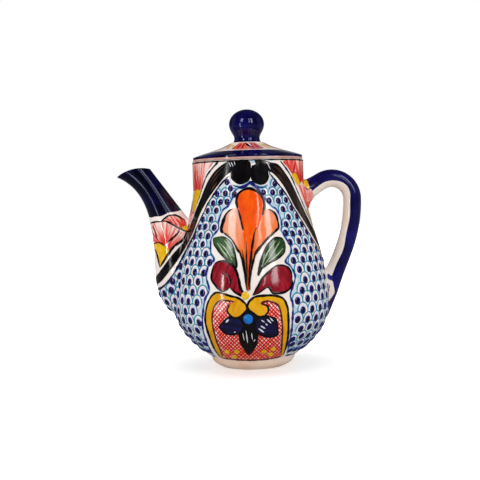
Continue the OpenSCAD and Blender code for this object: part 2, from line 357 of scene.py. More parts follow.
def field_glaze():
    """The scale field: a lavender bleed round each dot, a white scale, a sky-blue wash between scales."""
    g = Glaze("field_glaze")
    place = g.place()
    cell, strength = g.attribute("cell", "Fac"), g.attribute("wash", "Fac")
    edge = g.plus(cell, g.around_middle(g.noise(place, 260.0, 4.0, 0.6), 0.5, 0.30))
    blue = g.ramp(g.noise(place, 130.0), (0.34, (96, 170, 208)), (0.52, (142, 202, 226)),
                  (0.72, (196, 226, 236)))
    white = g.ramp(g.noise(place, *CLOUDS), (0.32, PALE_CREAM), (0.6, WHITE))
    bleed = g.times(g.span(edge, 0.56, 0.80, 0.40, 0.0), g.span(edge, 0.05, 0.20))
    colour = g.mix(bleed, white, (176, 180, 232))
    wash = g.times(g.span(g.plus(edge, g.times(strength, 0.16)), 0.98, 1.10), strength)
    wash = g.times(wash, g.span(edge, 1.25, 1.75, 1.0, 0.25))
    speck = g.span(g.noise(place, *SPECKS), 0.72, 0.82, 0.0, 0.3)
    return g.glossy(g.mix(speck, g.mix(wash, colour, blue), SPECK))


def brushed(name, dark, body, pale, stretch=(0.10, 1.3), pool=0.35, rough=(0.06, 0.14), gloss=0.5):
    """Painted glaze: streaks along the brush, deeper where the colour pools at the stroke's edge."""
    g = Glaze(name)
    streak = g.streaks(stretch)
    depth = g.plus(streak, g.around_middle(g.attribute("tone", "Fac"), 0.5, 0.2))
    colour = g.ramp(depth, (0.22, dark), (0.50, body), (0.80, pale))
    if pool:
        _, _, inwards = g.split(g.attribute("brush"))
        colour = g.mix(g.span(inwards, 0.0, 0.8, pool, 0.0), colour, dark)
    g.shader.inputs["Specular IOR Level"].default_value = gloss
    return g.glossy(colour, rough, relief=streak)


def fan_paint(name, deep, mid, pale, tip, reach, contrast):
    """Petals striped from a deep heart to pale tips."""
    g = Glaze(name)
    along, _, _ = g.split(g.attribute("brush"))
    streak = g.streaks((0.05, 1.25))
    depth = g.plus(g.span(along, -4.0, reach, 0.0, 0.72), g.around_middle(streak, 0.46, contrast))
    return g.glossy(g.ramp(depth, (0.10, deep), (0.40, mid), (0.66, pale), (0.90, tip)), relief=streak)


def bead_glaze():
    """Raised dots, nearly black in the middle and bluer where the slip thins out at the edge."""
    g = Glaze("bead_paint")
    _, _, inwards = g.split(g.attribute("brush"))
    depth = g.plus(inwards, g.around_middle(g.noise(g.place(), 900.0), 0.5, 0.6))
    colour = g.ramp(depth, (0.05, (54, 48, 158)), (0.32, (24, 16, 100)), (0.85, (6, 4, 44)))
    return g.glossy(colour, (0.04, 0.09))


def hatch_ground():
    """The pink ground of the hatched panel, redder towards the foot."""
    g = Glaze("hatch_ground_paint")
    height, _, _ = g.split(g.attribute("brush"))
    place = g.place()
    ground = g.ramp(g.noise(place, 120.0), (0.35, (252, 214, 200)), (0.65, (254, 240, 232)))
    low = g.plus(height, g.around_middle(g.noise(place, 160.0), 0.5, 22.0))
    return g.glossy(g.mix(g.span(low, 10.0, 30.0, 0.7, 0.0), ground, (246, 128, 64)))


INSIDE = cream_glaze("inside_glaze", (214, 196, 180), (232, 218, 205))
FOOT = cream_glaze("foot_glaze", (240, 196, 170), (250, 218, 196))
PALE = cream_glaze("pale_glaze", CREAM, PALE_CREAM)
LID_RIM = cream_glaze("lid_rim_glaze", (188, 134, 124), (214, 166, 154))
COBALT = cobalt_glaze("cobalt_glaze_handle", (5, 2, 44), (14, 8, 82), (32, 24, 136), (0.12, 0.20))
DEEP = cobalt_glaze("cobalt_glaze_spout", (2, 1, 12), (5, 3, 32), (16, 12, 84), (0.11, 0.18), 0.32)
RING = cobalt_glaze("cobalt_glaze_ring", (3, 1, 26), (9, 5, 58), (22, 16, 104), (0.04, 0.09))
KNOB = cobalt_glaze("cobalt_glaze_knob", (3, 1, 26), (10, 5, 68), (26, 20, 128), (0.05, 0.10))
FIELD = field_glaze()
HATCH = hatch_ground()
DULL = {"pool": 0, "rough": (0.10, 0.20), "gloss": 0.3}
BAND = brushed("band_paint", (2, 2, 5), (9, 7, 9), (66, 46, 40), (0.05, 1.6), **DULL)
BLACK = brushed("black_paint", (2, 2, 5), (6, 5, 9), (30, 20, 18), **DULL)
# Brownish paint for the painted reflections in the black bands
BROWN_REFLECTION = brushed("brown_reflection_paint", (26, 17, 15), (62, 43, 36), (104, 78, 66), (0.08, 1.8), **DULL)
NAVY = brushed("navy_paint", (14, 8, 76), (32, 28, 126), (78, 84, 184))
SKY = brushed("sky_paint", (104, 164, 212), (150, 200, 228), (204, 224, 238), pool=0)
TEAL = brushed("teal_paint", (14, 104, 140), (40, 142, 176), (100, 186, 210), pool=0)
ORANGE = brushed("orange_paint", (234, 70, 2), (255, 92, 6), (255, 122, 28))
SALMON = brushed("salmon_paint", (226, 74, 40), (240, 110, 72), (248, 164, 132), (0.05, 0.9))
GREEN = brushed("green_paint", (14, 32, 12), (40, 74, 36), (104, 134, 98), (0.12, 1.1))
LEAF_PALE = brushed("leaf_highlight_paint", (116, 146, 104), (166, 190, 148), (212, 222, 190), pool=0)
MAROON = brushed("maroon_paint", (98, 6, 22), (154, 20, 40), (184, 54, 66), (0.07, 0.5))
GOLD = brushed("gold_paint", (214, 144, 6), (238, 172, 12), (246, 194, 38), (0.10, 0.5), pool=0.25)
YELLOW = brushed("yellow_paint", (216, 152, 6), (240, 188, 18), (250, 214, 66), (0.2, 0.5), pool=0.25)
RED = brushed("red_paint", (150, 10, 12), (208, 34, 28), (232, 84, 62), pool=0.15)
HATCHING = brushed("hatching_paint", (190, 12, 4), (220, 28, 14), (238, 64, 40), pool=0)
PINK = brushed("pink_paint", (226, 134, 130), (244, 190, 184), (252, 228, 222), pool=0)
MAUVE = brushed("mauve_paint", (150, 70, 84), (196, 116, 122), (226, 166, 164), pool=0)
WINE = brushed("wine_line_paint", (46, 3, 8), (86, 9, 16), (134, 34, 34), pool=0)
INDIGO = brushed("indigo_paint", (3, 2, 10), (12, 8, 56), (34, 30, 128), (0.06, 0.35), pool=0.6)
CHALK = brushed("chalk_paint", (196, 200, 216), (228, 230, 238), (248, 248, 250), pool=0)
AZURE = brushed("azure_paint", (10, 86, 180), (24, 124, 212), (76, 166, 234), (0.3, 0.3), pool=0.3)
BEAD = bead_glaze()
DARK_GLAZES = (BAND, BLACK, BROWN_REFLECTION, NAVY, INDIGO, AZURE, BEAD)
FAN_COLOURS = (214, 24, 24), (236, 84, 74), (248, 164, 150), (253, 228, 220)
FAN = fan_paint("fan_paint", *FAN_COLOURS, 26.0, 2.2)
FAN_NECK = fan_paint("fan_neck_paint", *FAN_COLOURS, 32.0, 2.2)
FAN_RED = fan_paint("fan_red_paint", (226, 76, 10), (216, 30, 26), (232, 78, 66), (248, 196, 180), 26.0, 2.6)
PLUME = fan_paint("plume_paint", (176, 50, 8), (250, 110, 28), (248, 130, 72), (249, 176, 152), 78.0, 0.8)
PLUME_PINK = fan_paint("plume_pink_paint", (176, 50, 8), (250, 116, 40), (249, 150, 110), (249, 200, 188),
                       72.0, 0.8)

CAD_FINISH = {"body_shell": INSIDE, "foot_ring": FOOT, "spout": DEEP, "handle": COBALT, "slip_dots": COBALT,
              "lid_cover": PALE, "lid_flange": PALE, "lid_knob": KNOB}
for name, finish in CAD_FINISH.items():
    mesh = frame["nodes"][name].data
    for i in range(len(mesh.materials)):
        mesh.materials[i] = finish
    mesh.polygons.foreach_set("use_smooth", [True] * len(mesh.polygons))


# Pieces, strokes and fills

def placed(name, data):
    """A new object in the scene."""
    obj = bpy.data.objects.new(name, data)
    bpy.context.scene.collection.objects.link(obj)
    return obj


def piece(name, points, faces, materials, body, slot, picks=None, replaces=None, **attributes):
    """A piece on a body, with a material picked for each face and values at its points."""
    mesh = bpy.data.meshes.new(name)
    mesh.from_pydata((np.asarray(points) * MM).tolist(), [], faces)
    for m in materials:
        mesh.materials.append(m)
    if picks is not None:
        mesh.polygons.foreach_set("material_index", picks)
    mesh.polygons.foreach_set("use_smooth", [True] * len(mesh.polygons))
    for key, values in attributes.items():
        vector = np.ndim(values) == 2
        layer = mesh.attributes.new(key, "FLOAT_VECTOR" if vector else "FLOAT", "POINT")
        layer.data.foreach_set("vector" if vector else "value", np.asarray(values, np.float32).ravel())
    mesh.update()
    obj = placed(name, mesh)
    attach(obj, body)
    if replaces:
        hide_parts(replaces)


def travelled(line):
    """Length along a line at each of its points."""
    return np.concatenate([[0], np.cumsum(np.linalg.norm(np.diff(line, axis=0), axis=1))])


def even(line, count):
    """The same line with evenly spaced points."""
    far = travelled(line)
    at = np.linspace(0, far[-1], count)
    return np.stack([np.interp(at, far, line[:, k]) for k in range(line.shape[1])], 1)


def smooth(points, closed=False, step=0.9):
    """A curve through the points, in even steps. A point given twice stays a corner."""
    p = np.array(points, float)
    n = len(p)
    t = np.linspace(0, 1, 10, endpoint=False)[:, None]
    run = []
    for i in range(n if closed else n - 1):
        a, b, c, d = [p[(i + k) % n] if closed else p[min(max(i + k, 0), n - 1)] for k in (-1, 0, 1, 2)]
        run.append(0.5 * (2 * b + (c - a) * t + (2 * a - 5 * b + 4 * c - d) * t ** 2
                          + (3 * b - a - 3 * c + d) * t ** 3))
    run.append(p[:1] if closed else p[-1:])
    run = np.vstack(run)
    run = run[np.append(True, np.hypot(*np.diff(run, axis=0).T) > 1e-6)]
    out = even(run, max(int(round(travelled(run)[-1] / step)), 4) + 1)
    return out[:-1] if closed else out


def inside(p, ring):
    """Whether flat points lie in a ring."""
    x, y = p[:, 0][:, None], p[:, 1][:, None]
    x0, y0 = ring[:, 0][None], ring[:, 1][None]
    x1, y1 = np.roll(ring[:, 0], -1)[None], np.roll(ring[:, 1], -1)[None]
    crosses = ((y0 > y) != (y1 > y)) & (x < (x1 - x0) * (y - y0) / (y1 - y0 + 1e-12) + x0)
    return crosses.sum(1) % 2 == 1


def distance(p, ring):
    """Distance of flat points from a ring."""
    step = np.roll(ring, -1, 0) - ring
    t = ((p[:, None] - ring[None]) * step[None]).sum(2) / ((step * step).sum(1)[None] + 1e-12)
    near = ring[None] + np.clip(t, 0, 1)[..., None] * step[None]
    return np.sqrt(((p[:, None] - near) ** 2).sum(2)).min(1)


def grid_faces(rows, columns, closed):
    """Quads between the rows of a grid of points, round a closed row or along an open one."""
    last = columns if closed else columns - 1
    return [(i * columns + j, i * columns + (j + 1) % columns, (i + 1) * columns + (j + 1) % columns,
             (i + 1) * columns + j) for i in range(rows - 1) for j in range(last)]


class Paint:
    """One painted piece: strokes, fills and dots of one glaze, on the pot mirrored to its back.

    A stroke's numbers are its width and its lift over the coat, a fill's number is its lift.
    """

    ACROSS = np.array([-1, -0.62, 0, 0.62, 1])
    WOBBLES = ((1, 0.55), (0.6, 1.3))
    TIP, REST, BRUSH_WIDE, POOL, SWIRL = 0.18, 0.82, 1.5, 1.6, 9.0
    LID_LEAN, DROP_LEAN, EDGE_GAP = 0.3, 0.25, 0.45
    made = []

    def __init__(self, name, material, body="pot", replaces=None):
        self.name, self.material, self.body, self.replaces = name, material, body, replaces
        self.points, self.faces, self.brush, self.tone, self.count = [], [], [], [], 0
        self.made.append(self)

    def add(self, points, faces, brush):
        """Keep a patch, with its faces turned outwards and a tone of its own."""
        a, b, c = (points[[f[i] for f in faces]] for i in (0, 1, 2))
        middle = points.mean(0)
        outwards = middle * (1, 1, self.LID_LEAN if self.body == "lid" else 0)
        turned = np.cross(b - a, c - a).sum(0) @ outwards < 0
        tone = dice.random()
        for flip in (1, -1) if self.body == "pot" else (1,):
            back = turned if flip > 0 else not turned
            self.points.append(points * np.array([1, flip, 1]))
            self.faces += [tuple(self.count + i for i in (f[::-1] if back else f)) for f in faces]
            self.brush.append(brush)
            self.tone.append(np.full(len(points), tone))
            self.count += len(points)

    def line(self, surface, p, width, lift, crown, taper, wobble):
        """A stroke along flat points, round on top and thin at its ends."""
        t = np.gradient(p, axis=0)
        t /= np.hypot(t[:, 0], t[:, 1])[:, None] + 1e-9
        side = np.stack([-t[:, 1], t[:, 0]], 1)
        far = travelled(p)
        u = far / far[-1]
        widths = np.atleast_1d(np.array(width, float))
        w = np.interp(u, np.linspace(0, 1, len(widths)), widths)
        for share, rate in self.WOBBLES:
            w *= 1 + share * wobble * np.sin(far * rate + dice.uniform(0, 6))
        for end, v in ((taper[0], u), (taper[1], 1 - u)):
            if end > 0:
                w *= self.TIP + self.REST * np.sqrt(np.clip(v / end, 0, 1))
        n, k = len(p), len(self.ACROSS)
        grid = p[:, None] + side[:, None] * (self.ACROSS[None, :, None] * w[:, None, None] / 2)
        height = np.tile(lift + crown * (1 - self.ACROSS ** 2), n)
        inwards = np.tile(self.POOL * (1 - np.abs(self.ACROSS)), n)
        brush = np.stack([np.repeat(far, k), np.tile(self.ACROSS * self.BRUSH_WIDE, n), inwards], 1)
        self.add(surface.place(grid.reshape(-1, 2), height), grid_faces(n, k, False), brush)

    def stroke(self, path, width, lift, surface=POT, crown=0.05, taper=(0.25, 0.25), wobble=0.12, step=0.8):
        """A stroke along a curve through the path."""
        self.line(surface, smooth(surface.flat(path), step=step), width, lift, crown, taper, wobble)

    def paths(self, paths, width, lift, *where, **style):
        """Strokes of one width along several paths."""
        for path in paths:
            self.stroke(path, width, lift, *where, **style)

    def strokes(self, rows, lift, *where, **style):
        """Strokes along several paths, each with its width."""
        for path, width in rows:
            self.stroke(path, width, lift, *where, **style)

    def clipped(self, surface, p, kept, width, lift, crown=0.03, taper=(0.12, 0.12), wobble=0.15):
        """The stretches of a flat line whose points are kept, as strokes."""
        run = []
        for spot, keep in zip(p, np.append(kept[:-1], False)):
            if keep:
                run.append(spot)
                continue
            if len(run) > 4:
                self.line(surface, np.array(run), width, lift, crown, taper, wobble)
            run = []

    def sheet(self, surface, ring, lift, dome=0.10, axis=90.0, pole=None, spacing=1.7, soft=1.4):
        """A filled flat ring, thicker inside, with its brush along an axis or away from a pole."""
        low, high = ring.min(0), ring.max(0)
        x, y = np.meshgrid(np.arange(low[0], high[0], spacing), np.arange(low[1], high[1], spacing))
        x[1::2] += spacing / 2
        p = np.stack([x.ravel(), y.ravel()], 1)
        p = p[inside(p, ring)]
        p = p[distance(p, ring) > self.EDGE_GAP * spacing]
        loop = [(i, (i + 1) % len(ring)) for i in range(len(ring))]
        flat, _, faces, *_ = delaunay_2d_cdt([Vector(q) for q in np.vstack([ring, p])], loop, [], 1, 1e-4)
        flat = np.array([tuple(q) for q in flat])
        inwards = np.clip(distance(flat, ring) / soft, 0, 1)
        if pole is None:
            c, s = math.cos(math.radians(axis)), math.sin(math.radians(axis))
            along, across = flat @ np.array([c, s]), flat @ np.array([-s, c])
        else:
            away = flat - surface.flat([pole])[0]
            along, across = np.hypot(*away.T), np.arctan2(away[:, 1], away[:, 0]) * self.SWIRL
        points = surface.place(flat, lift + dome * inwards * (2 - inwards))
        self.add(points, [tuple(f) for f in faces], np.stack([along, across, inwards], 1))

    def fill(self, outline, lift, surface=POT, **brush):
        """A filled outline."""
        self.sheet(surface, smooth(surface.flat(outline), closed=True), lift, **brush)

    def ribbon(self, one_side, other_side, lift, surface=POT, **brush):
        """A fill between two open lines."""
        sides = [smooth(surface.flat(side), step=1.0) for side in (one_side, other_side)]
        self.sheet(surface, np.vstack([sides[0], sides[1][::-1]]), lift, **brush)

    def dot(self, centre, wide, tall, lift, height, surface=POT, rings=4, around=18):
        """A domed drop, leaning a little to one side."""
        lean = dice.uniform(-self.DROP_LEAN, self.DROP_LEAN)
        a = np.linspace(0, 2 * math.pi, around, endpoint=False)
        q = np.repeat(np.linspace(0, 1, rings + 1)[1:], around)
        x, y = q * wide / 2 * np.tile(np.cos(a), rings), q * tall / 2 * np.tile(np.sin(a), rings)
        c, s = math.cos(lean), math.sin(lean)
        flat = np.vstack([[(0, 0)], np.stack([x * c - y * s, x * s + y * c], 1)]) + surface.flat([centre])[0]
        q = np.append(0.0, q)
        faces = [(0, 1 + j, 1 + (j + 1) % around) for j in range(around)]
        faces += [tuple(1 + i for i in f[::-1]) for f in grid_faces(rings, around, True)]
        self.add(surface.place(flat, lift + height * (1 - q ** 2.6) ** 0.8), faces,
                 np.column_stack([flat, self.POOL * (1 - q)]))

    def done(self):
        """Make the piece of all that was painted."""
        slot = "cobalt_glaze" if self.material in DARK_GLAZES else "white_glaze"
        piece(self.name, np.vstack(self.points), self.faces, [self.material], self.body, slot,
              replaces=self.replaces, brush=np.vstack(self.brush), tone=np.concatenate(self.tone))


# Smooth coats over the solids

def lathe(profile, around):
    """A turned surface. The profile runs so that its outside is on the right."""
    profile = np.array(profile, float)
    a = np.linspace(0, 2 * math.pi, around, endpoint=False)
    points = np.stack([profile[:, None, 0] * np.sin(a), -profile[:, None, 0] * np.cos(a),
                       np.repeat(profile[:, 1:2], around, 1)], 2)
    return points.reshape(-1, 3), grid_faces(len(profile), around, True)


COAT = 0.04
BODY_ROWS, BODY_AROUND = 176, 400
RIM = np.array([(45.5, -0.6), (44.7, 0.03), (43.0, COAT), (41.6, 0.03), (40.65, -0.8)]) + (0, RIM_Z)
wall = even(OUTLINE, BODY_ROWS)[:-1]
wall[:, 0] += COAT
body_points, body_faces = lathe(np.vstack([wall, RIM]), BODY_AROUND)

SPOUT_TIP, TIP_PULL_Z = np.array([-108.5, 158.9]), 146.6
SPOUT_HEEL = np.array([-80.9, 165.1])
CROTCH_Z, ROOT_DEPTH = 122.5, 20
ROOT_WIDE, MOUTH_WIDE, MOUTH_BOW = 46, 20, 2.5
WALL, CHIN_Z, CHIN_OUT, CHIN_SHARE = 5, 43, 14.5, 0.34
CHEST_Z, CHEST_OUT, CHEST_FALL, CHEST_RISE = 88.0, 20, 20, 24
SPOUT_AROUND, SPOUT_FILLET, SPOUT_LOW, SPOUT_HIGH, SPOUT_INNER = 96, 12, 30, 52, 20
SPOUT_WALL, SPOUT_PAINT_Z, SPOUT_PAINT_LEAN, BORE_END = 3.4, 125.0, 0.20, 0.42
LIP_ROUND, LIP_SECTION = 0.7, ((0.25, 0.7), (0.5, 1.0), (0.75, 0.7))
FILLET_LEAST, FILLET_CHIN, FILLET_SIDES = 2.5, 4.0, 3.0
FILLET_SPREAD, FILLET_SUNK = 0.7, 0.15


def spout_edges(t):
    """The front and back edge of the spout in side view, and its width across, for an array t."""
    crotch = np.array([-radius(CROTCH_Z), CROTCH_Z])
    back = crotch + ROOT_DEPTH * (crotch - SPOUT_HEEL) / np.linalg.norm(crotch - SPOUT_HEEL)
    chest = np.array([-radius(CHEST_Z) - CHEST_OUT, CHEST_Z])
    chin = np.array([-radius(CHIN_Z) + WALL, CHIN_Z - 1])
    swell = np.array([-radius(CHIN_Z) - CHIN_OUT, CHIN_Z + 5])
    low = bezier((chin, swell, chest - (0, CHEST_FALL), chest), np.clip(t / CHIN_SHARE, 0, 1))
    high = bezier((chest, chest + (-0.5, CHEST_RISE), (chest[0] - 1, TIP_PULL_Z), SPOUT_TIP),
                  np.clip((t - CHIN_SHARE) / (1 - CHIN_SHARE), 0, 1))
    front = np.where((t < CHIN_SHARE)[:, None], low, high)
    width = MOUTH_WIDE + (ROOT_WIDE - MOUTH_WIDE) * (1 - t) ** 2
    return front, back + (SPOUT_HEEL - back) * t[:, None], width


def spout_line(a, t, inset=0.0):
    """A line along the spout at an angle round it, inset from its outside."""
    front, back, width = spout_edges(t)
    middle, half = (front + back) / 2, (front - back) / 2
    shrink = 1 - inset / np.maximum(np.linalg.norm(half, axis=1), 1)
    xz = middle + half * (math.cos(a) * shrink)[:, None]
    y = -(width / 2 - inset) * math.sin(a)
    return np.stack([xz[:, 0], y, xz[:, 1] + MOUTH_BOW * t ** 6 * math.sin(a) ** 2], 1)


def luted(line, middle, reach, count):
    """The line's start, blended into the body as wet slip is smoothed round a join, and its rest."""
    k = int(np.searchsorted(travelled(line), reach))
    joint, joined = line[0], line[k]
    normal = np.array([joint[0], joint[1], -radius(joint[2]) * slope(joint[2])])
    normal /= np.linalg.norm(normal)
    away = joint - middle
    away -= normal * (away @ normal)
    foot = joint + away / np.linalg.norm(away) * reach * FILLET_SPREAD
    foot[:2] *= (radius(foot[2]) - FILLET_SUNK) / math.hypot(foot[0], foot[1])
    q = np.linspace(0, 1, count, endpoint=False)[:, None]
    return (1 - q) ** 2 * foot + 2 * q * (1 - q) * joint + q * q * joined, line[k:]


def spout_coat():
    """The spout's outside, lip and bore, with a wavy edge between the painted foot and the cobalt."""
    fine = np.linspace(0, 1, 900)
    across = SPOUT_HEEL - SPOUT_TIP
    up = np.array([-across[1], 0, across[0]]) / np.linalg.norm(across)
    lines = []
    for a in np.linspace(0, 2 * math.pi, SPOUT_AROUND, endpoint=False):
        line = spout_line(a, fine)
        start = np.where(clear_of_body(line) < 0)[0].max() + 1
        front, back, _ = spout_edges(fine[start:start + 1])
        middle = np.array([(front + back)[0, 0] / 2, 0, (front + back)[0, 1] / 2])
        reach = FILLET_LEAST + FILLET_CHIN * math.cos(a / 2) ** 2 + FILLET_SIDES * abs(math.sin(a))
        fillet, rest = luted(line[start:], middle, reach, SPOUT_FILLET)
        wave = 0.5 * math.sin(3 * a + 0.7) + 0.35 * math.sin(7 * a)
        below = rest[:, 2] < SPOUT_PAINT_Z + wave + SPOUT_PAINT_LEAN * (rest[:, 0] - SPOUT_HEEL[0])
        cut = int(np.where(below)[0].max()) + 1
        inner = spout_line(a, np.linspace(1, BORE_END, SPOUT_INNER), SPOUT_WALL)
        inner[0] -= up * LIP_ROUND
        lip = [rest[-1] * (1 - q) + inner[0] * q + up * h for q, h in LIP_SECTION]
        low, high = even(rest[:cut + 1], SPOUT_LOW + 1)[:-1], even(rest[cut:], SPOUT_HIGH)
        lines.append(np.vstack([fillet, low, high, lip, inner]))
    grid = np.array(lines).transpose(1, 0, 2)
    painted = SPOUT_FILLET + SPOUT_LOW
    picks = np.repeat(np.arange(len(grid) - 1) >= painted, SPOUT_AROUND).astype(int)
    return grid.reshape(-1, 3), grid_faces(len(grid), SPOUT_AROUND, True), picks


ARCH_MIDDLE, ARCH_R, UPPER_TILT, UPPER_ROOT_LEN = np.array([68.65, 136.05]), 17, 30, 24
LOWER_ROOT_Z, LOWER_LEAN, LOWER_ROOT_LEN, DROP_PULL = 62.0, 23.6, 22, 30
HANDLE_LONG, HANDLE_FILLET, HANDLE_OUTER, HANDLE_INNER = 150, 12, 40, 16
HANDLE_HALF_THICK, HANDLE_HALF_WIDE, HANDLE_SQUARE = 7.25, 9.0, 0.85
HANDLE_PAINT, PAINT_EDGE_SOFT = 2.2, 0.08
ROOT_FLARE, FLARE_LEN = 0.2, 16
ROOT_FILLET, UPPER_WEB, LOWER_WEB = 3.5, 9.5, 2.0


def handle_path():
    """The handle's middle line in the plane of the spout and handle."""
    turn = np.radians(np.linspace(90 + UPPER_TILT, 0, 70))
    arch = ARCH_MIDDLE + ARCH_R * np.stack([np.cos(turn), np.sin(turn)], 1)
    tilt, lean = math.radians(UPPER_TILT), math.radians(LOWER_LEAN)
    root = arch[0] - UPPER_ROOT_LEN * np.array([math.cos(tilt), math.sin(tilt)])
    down = np.array([-math.sin(lean), -math.cos(lean)])
    low = np.array([radius(LOWER_ROOT_Z), LOWER_ROOT_Z])
    pulls = arch[-1] - (0, DROP_PULL), low - DROP_PULL * down
    fall = bezier((arch[-1], *pulls, low), np.linspace(0, 1, 120))
    path = [np.linspace(root, arch[0], 40)[:-1], arch[:-1], fall[:-1],
            np.linspace(low, low + LOWER_ROOT_LEN * down, 40)]
    return even(np.vstack(path), 1600)


def oval(size, part, flare):
    """One coordinate of the handle's rounded oval section, from the cosine or sine of an angle."""
    return size * np.sign(part) * np.abs(part) ** HANDLE_SQUARE * flare


def handle_coat():
    """The handle's outside, cobalt with a pale inner face, and a web of slip at each root."""
    path = handle_path()
    t = np.gradient(path, axis=0)
    t /= np.hypot(t[:, 0], t[:, 1])[:, None]
    out = np.stack([-t[:, 1], t[:, 0]], 1)
    clear = np.maximum(path[:, 0] - radius(path[:, 1]), 0)
    flare = 1 + ROOT_FLARE * np.clip(1 - clear / FLARE_LEN, 0, 1) ** 2
    far = travelled(path)
    bend = 0.07 * np.sin(far * 0.09 + 1.0) + 0.05 * np.sin(far * 0.23)
    edge = math.acos(-(HANDLE_PAINT / HANDLE_HALF_THICK) ** (1 / HANDLE_SQUARE))
    turns = np.concatenate([np.linspace(-edge, edge, HANDLE_OUTER + 1)[:-1],
                            np.linspace(edge, 2 * math.pi - edge, HANDLE_INNER + 1)[:-1]])
    lines = []
    for turn in turns:
        from_edge = (abs(turn) if turn < math.pi else 2 * math.pi - turn) - edge
        a = turn + np.sign(math.sin(turn)) * bend * math.exp(-from_edge ** 2 / PAINT_EDGE_SOFT)
        u, v = oval(HANDLE_HALF_THICK, np.cos(a), flare), oval(HANDLE_HALF_WIDE, np.sin(a), flare)
        p = np.stack([path[:, 0] + out[:, 0] * u, v, path[:, 1] + out[:, 1] * u], 1)
        keep = np.where(clear_of_body(p) > 0)[0]
        first, last = keep.min(), keep.max()
        under = max(0.0, -math.cos(turn))
        ends = [np.array([path[k, 0], 0, path[k, 1]]) for k in (first, last)]
        start, line = luted(p[first:last + 1], ends[0], ROOT_FILLET + UPPER_WEB * under, HANDLE_FILLET)
        end, line = luted(line[::-1], ends[1], ROOT_FILLET + LOWER_WEB * under, HANDLE_FILLET)
        lines.append(np.vstack([start, even(line[::-1], HANDLE_LONG - 2 * HANDLE_FILLET), end[::-1]]))
    grid = np.array(lines).transpose(1, 0, 2)
    faces = [f[::-1] for f in grid_faces(HANDLE_LONG, len(turns), True)]
    picks = np.tile(np.arange(len(turns)) >= HANDLE_OUTER, HANDLE_LONG - 1).astype(int)
    return grid.reshape(-1, 3), faces, picks


spout_points, spout_faces, spout_picks = spout_coat()
handle_points, handle_faces, handle_picks = handle_coat()
piece("handle_coat", handle_points, handle_faces, [COBALT, PALE], "pot", "cobalt_glaze", handle_picks,
      "handle")
SIDE = Side((body_points, body_faces), (spout_points, spout_faces))
GRIP = Side((body_points, body_faces), (handle_points, handle_faces))

LID_NAVY_R, LID_NAVY_Z, LID_AROUND, LID_ROWS, LID_COAT = 33.0, 171.0, 240, 40, (0, 0.05)
LID_SIDE = [(44.2, 169.3), (44.8, 169.42), (45.06, 169.9), (45.1, LID_NAVY_Z), (45.12, 172.2),
            (45.08, 172.74), (44.85, 172.92)]
lid_profile = np.vstack([LID_SIDE, even(LID_TOP, LID_ROWS)[1:] + LID_COAT])
lid_points, lid_faces = lathe(lid_profile, LID_AROUND)
middles = (lid_profile[1:] + lid_profile[:-1]) / 2
lid_picks = np.where(middles[:, 1] < LID_NAVY_Z, 0, np.where(middles[:, 0] > LID_NAVY_R, 1, 2))
piece("lid_coat", lid_points, lid_faces, [LID_RIM, RING, PALE], "lid", "white_glaze",
      np.repeat(lid_picks, LID_AROUND))


# Outlines of the painting: degrees from the front and height on the pot, x and height on the spout

PLUME_L = [(-11, 130.5), (-16, 130.5), (-20, 128.5), (-23, 124.5), (-25.5, 115), (-23, 112), (-19.5, 110),
           (-14.5, 105.5), (-9.5, 96.5), (-5.5, 83), (-4, 69), (-2.8, 69), (-1.5, 88), (0, 108), (-4, 119)]
PLUME_R = [(12.5, 128.5), (17, 129.5), (21.5, 127.5), (24.5, 123.5), (25, 115.5), (22.5, 113),
           (13.5, 106.5), (5, 98), (2, 93), (-0.5, 82), (-1.7, 69), (-2.8, 69), (-1.5, 88), (0, 108),
           (5, 118)]
PLUME_MID = [(-11, 130.5), (-12.5, 136.5), (-9.5, 143), (0.5, 146), (11, 141), (14, 133.5), (11.5, 125.5),
             (5.5, 115.5), (-3.5, 107.5), (-8.5, 123)]
LEAF_L = [(-32.5, 108), (-29, 109), (-23.5, 109.5), (-18.5, 107), (-14.5, 102.5), (-11.5, 91.5), (-11, 85),
          (-19, 91.5), (-28.5, 100.5), (-32, 104.5)]
LEAF_R = [(20, 107), (26, 106.5), (28.5, 102.5), (28, 98), (24, 93.5), (12.5, 87.5), (7.5, 84), (4.5, 79),
          (6.5, 89), (11.5, 99.5), (16, 104.5)]
PAISLEY_L = [(-29.5, 87), (-27, 89.5), (-23, 90.5), (-19.5, 90), (-12.5, 85), (-9.5, 76.5), (-8.5, 70.5),
             (-6, 64), (-12, 66.5), (-16, 70.5), (-20, 67.5), (-23.5, 68.5), (-29.5, 75), (-30.5, 79),
             (-30, 83.5)]
PAISLEY_R = [(30, 75), (30, 79), (28.5, 83), (25, 85.5), (20.5, 86), (16, 84.5), (7.5, 77), (4.5, 71.5),
             (0, 64), (5.5, 66.5), (11, 70), (14, 65.5), (17.5, 65), (22, 65), (26.5, 67), (29.5, 70.5)]
SCROLL_L = [(-45, 11), (-41.5, 17.5), (-37.5, 27), (-36, 43.5), (-34, 54.5), (-32, 60), (-29, 64.5),
            (-24.5, 66.5), (-16, 64), (-10.5, 62.5), (-7, 60), (-4.5, 56.5), (-4.5, 53), (-8.5, 48.5),
            (-12.5, 47), (-15.5, 48.5), (-18, 53), (-16, 57.5), (-12.5, 59.5), (-20.5, 60.5), (-24, 59.5),
            (-28, 54.5), (-30, 44), (-31.5, 28.5), (-33.5, 20), (-39.5, 12)]
SCROLL_R = [(37, 12), (31, 21), (27.5, 32), (25, 49.5), (24, 55.5), (22, 60), (18, 62.5), (13, 63.5),
            (7, 63.5), (2, 63), (-1, 61), (-3, 58.5), (-3.5, 55), (-1.5, 52), (3, 48.3), (6.3, 47.2),
            (10, 50.5), (10.3, 55), (6, 57.8), (8.5, 59), (11.5, 59), (18, 55), (20.5, 43), (22, 34),
            (24.5, 24.5), (33, 12.5)]
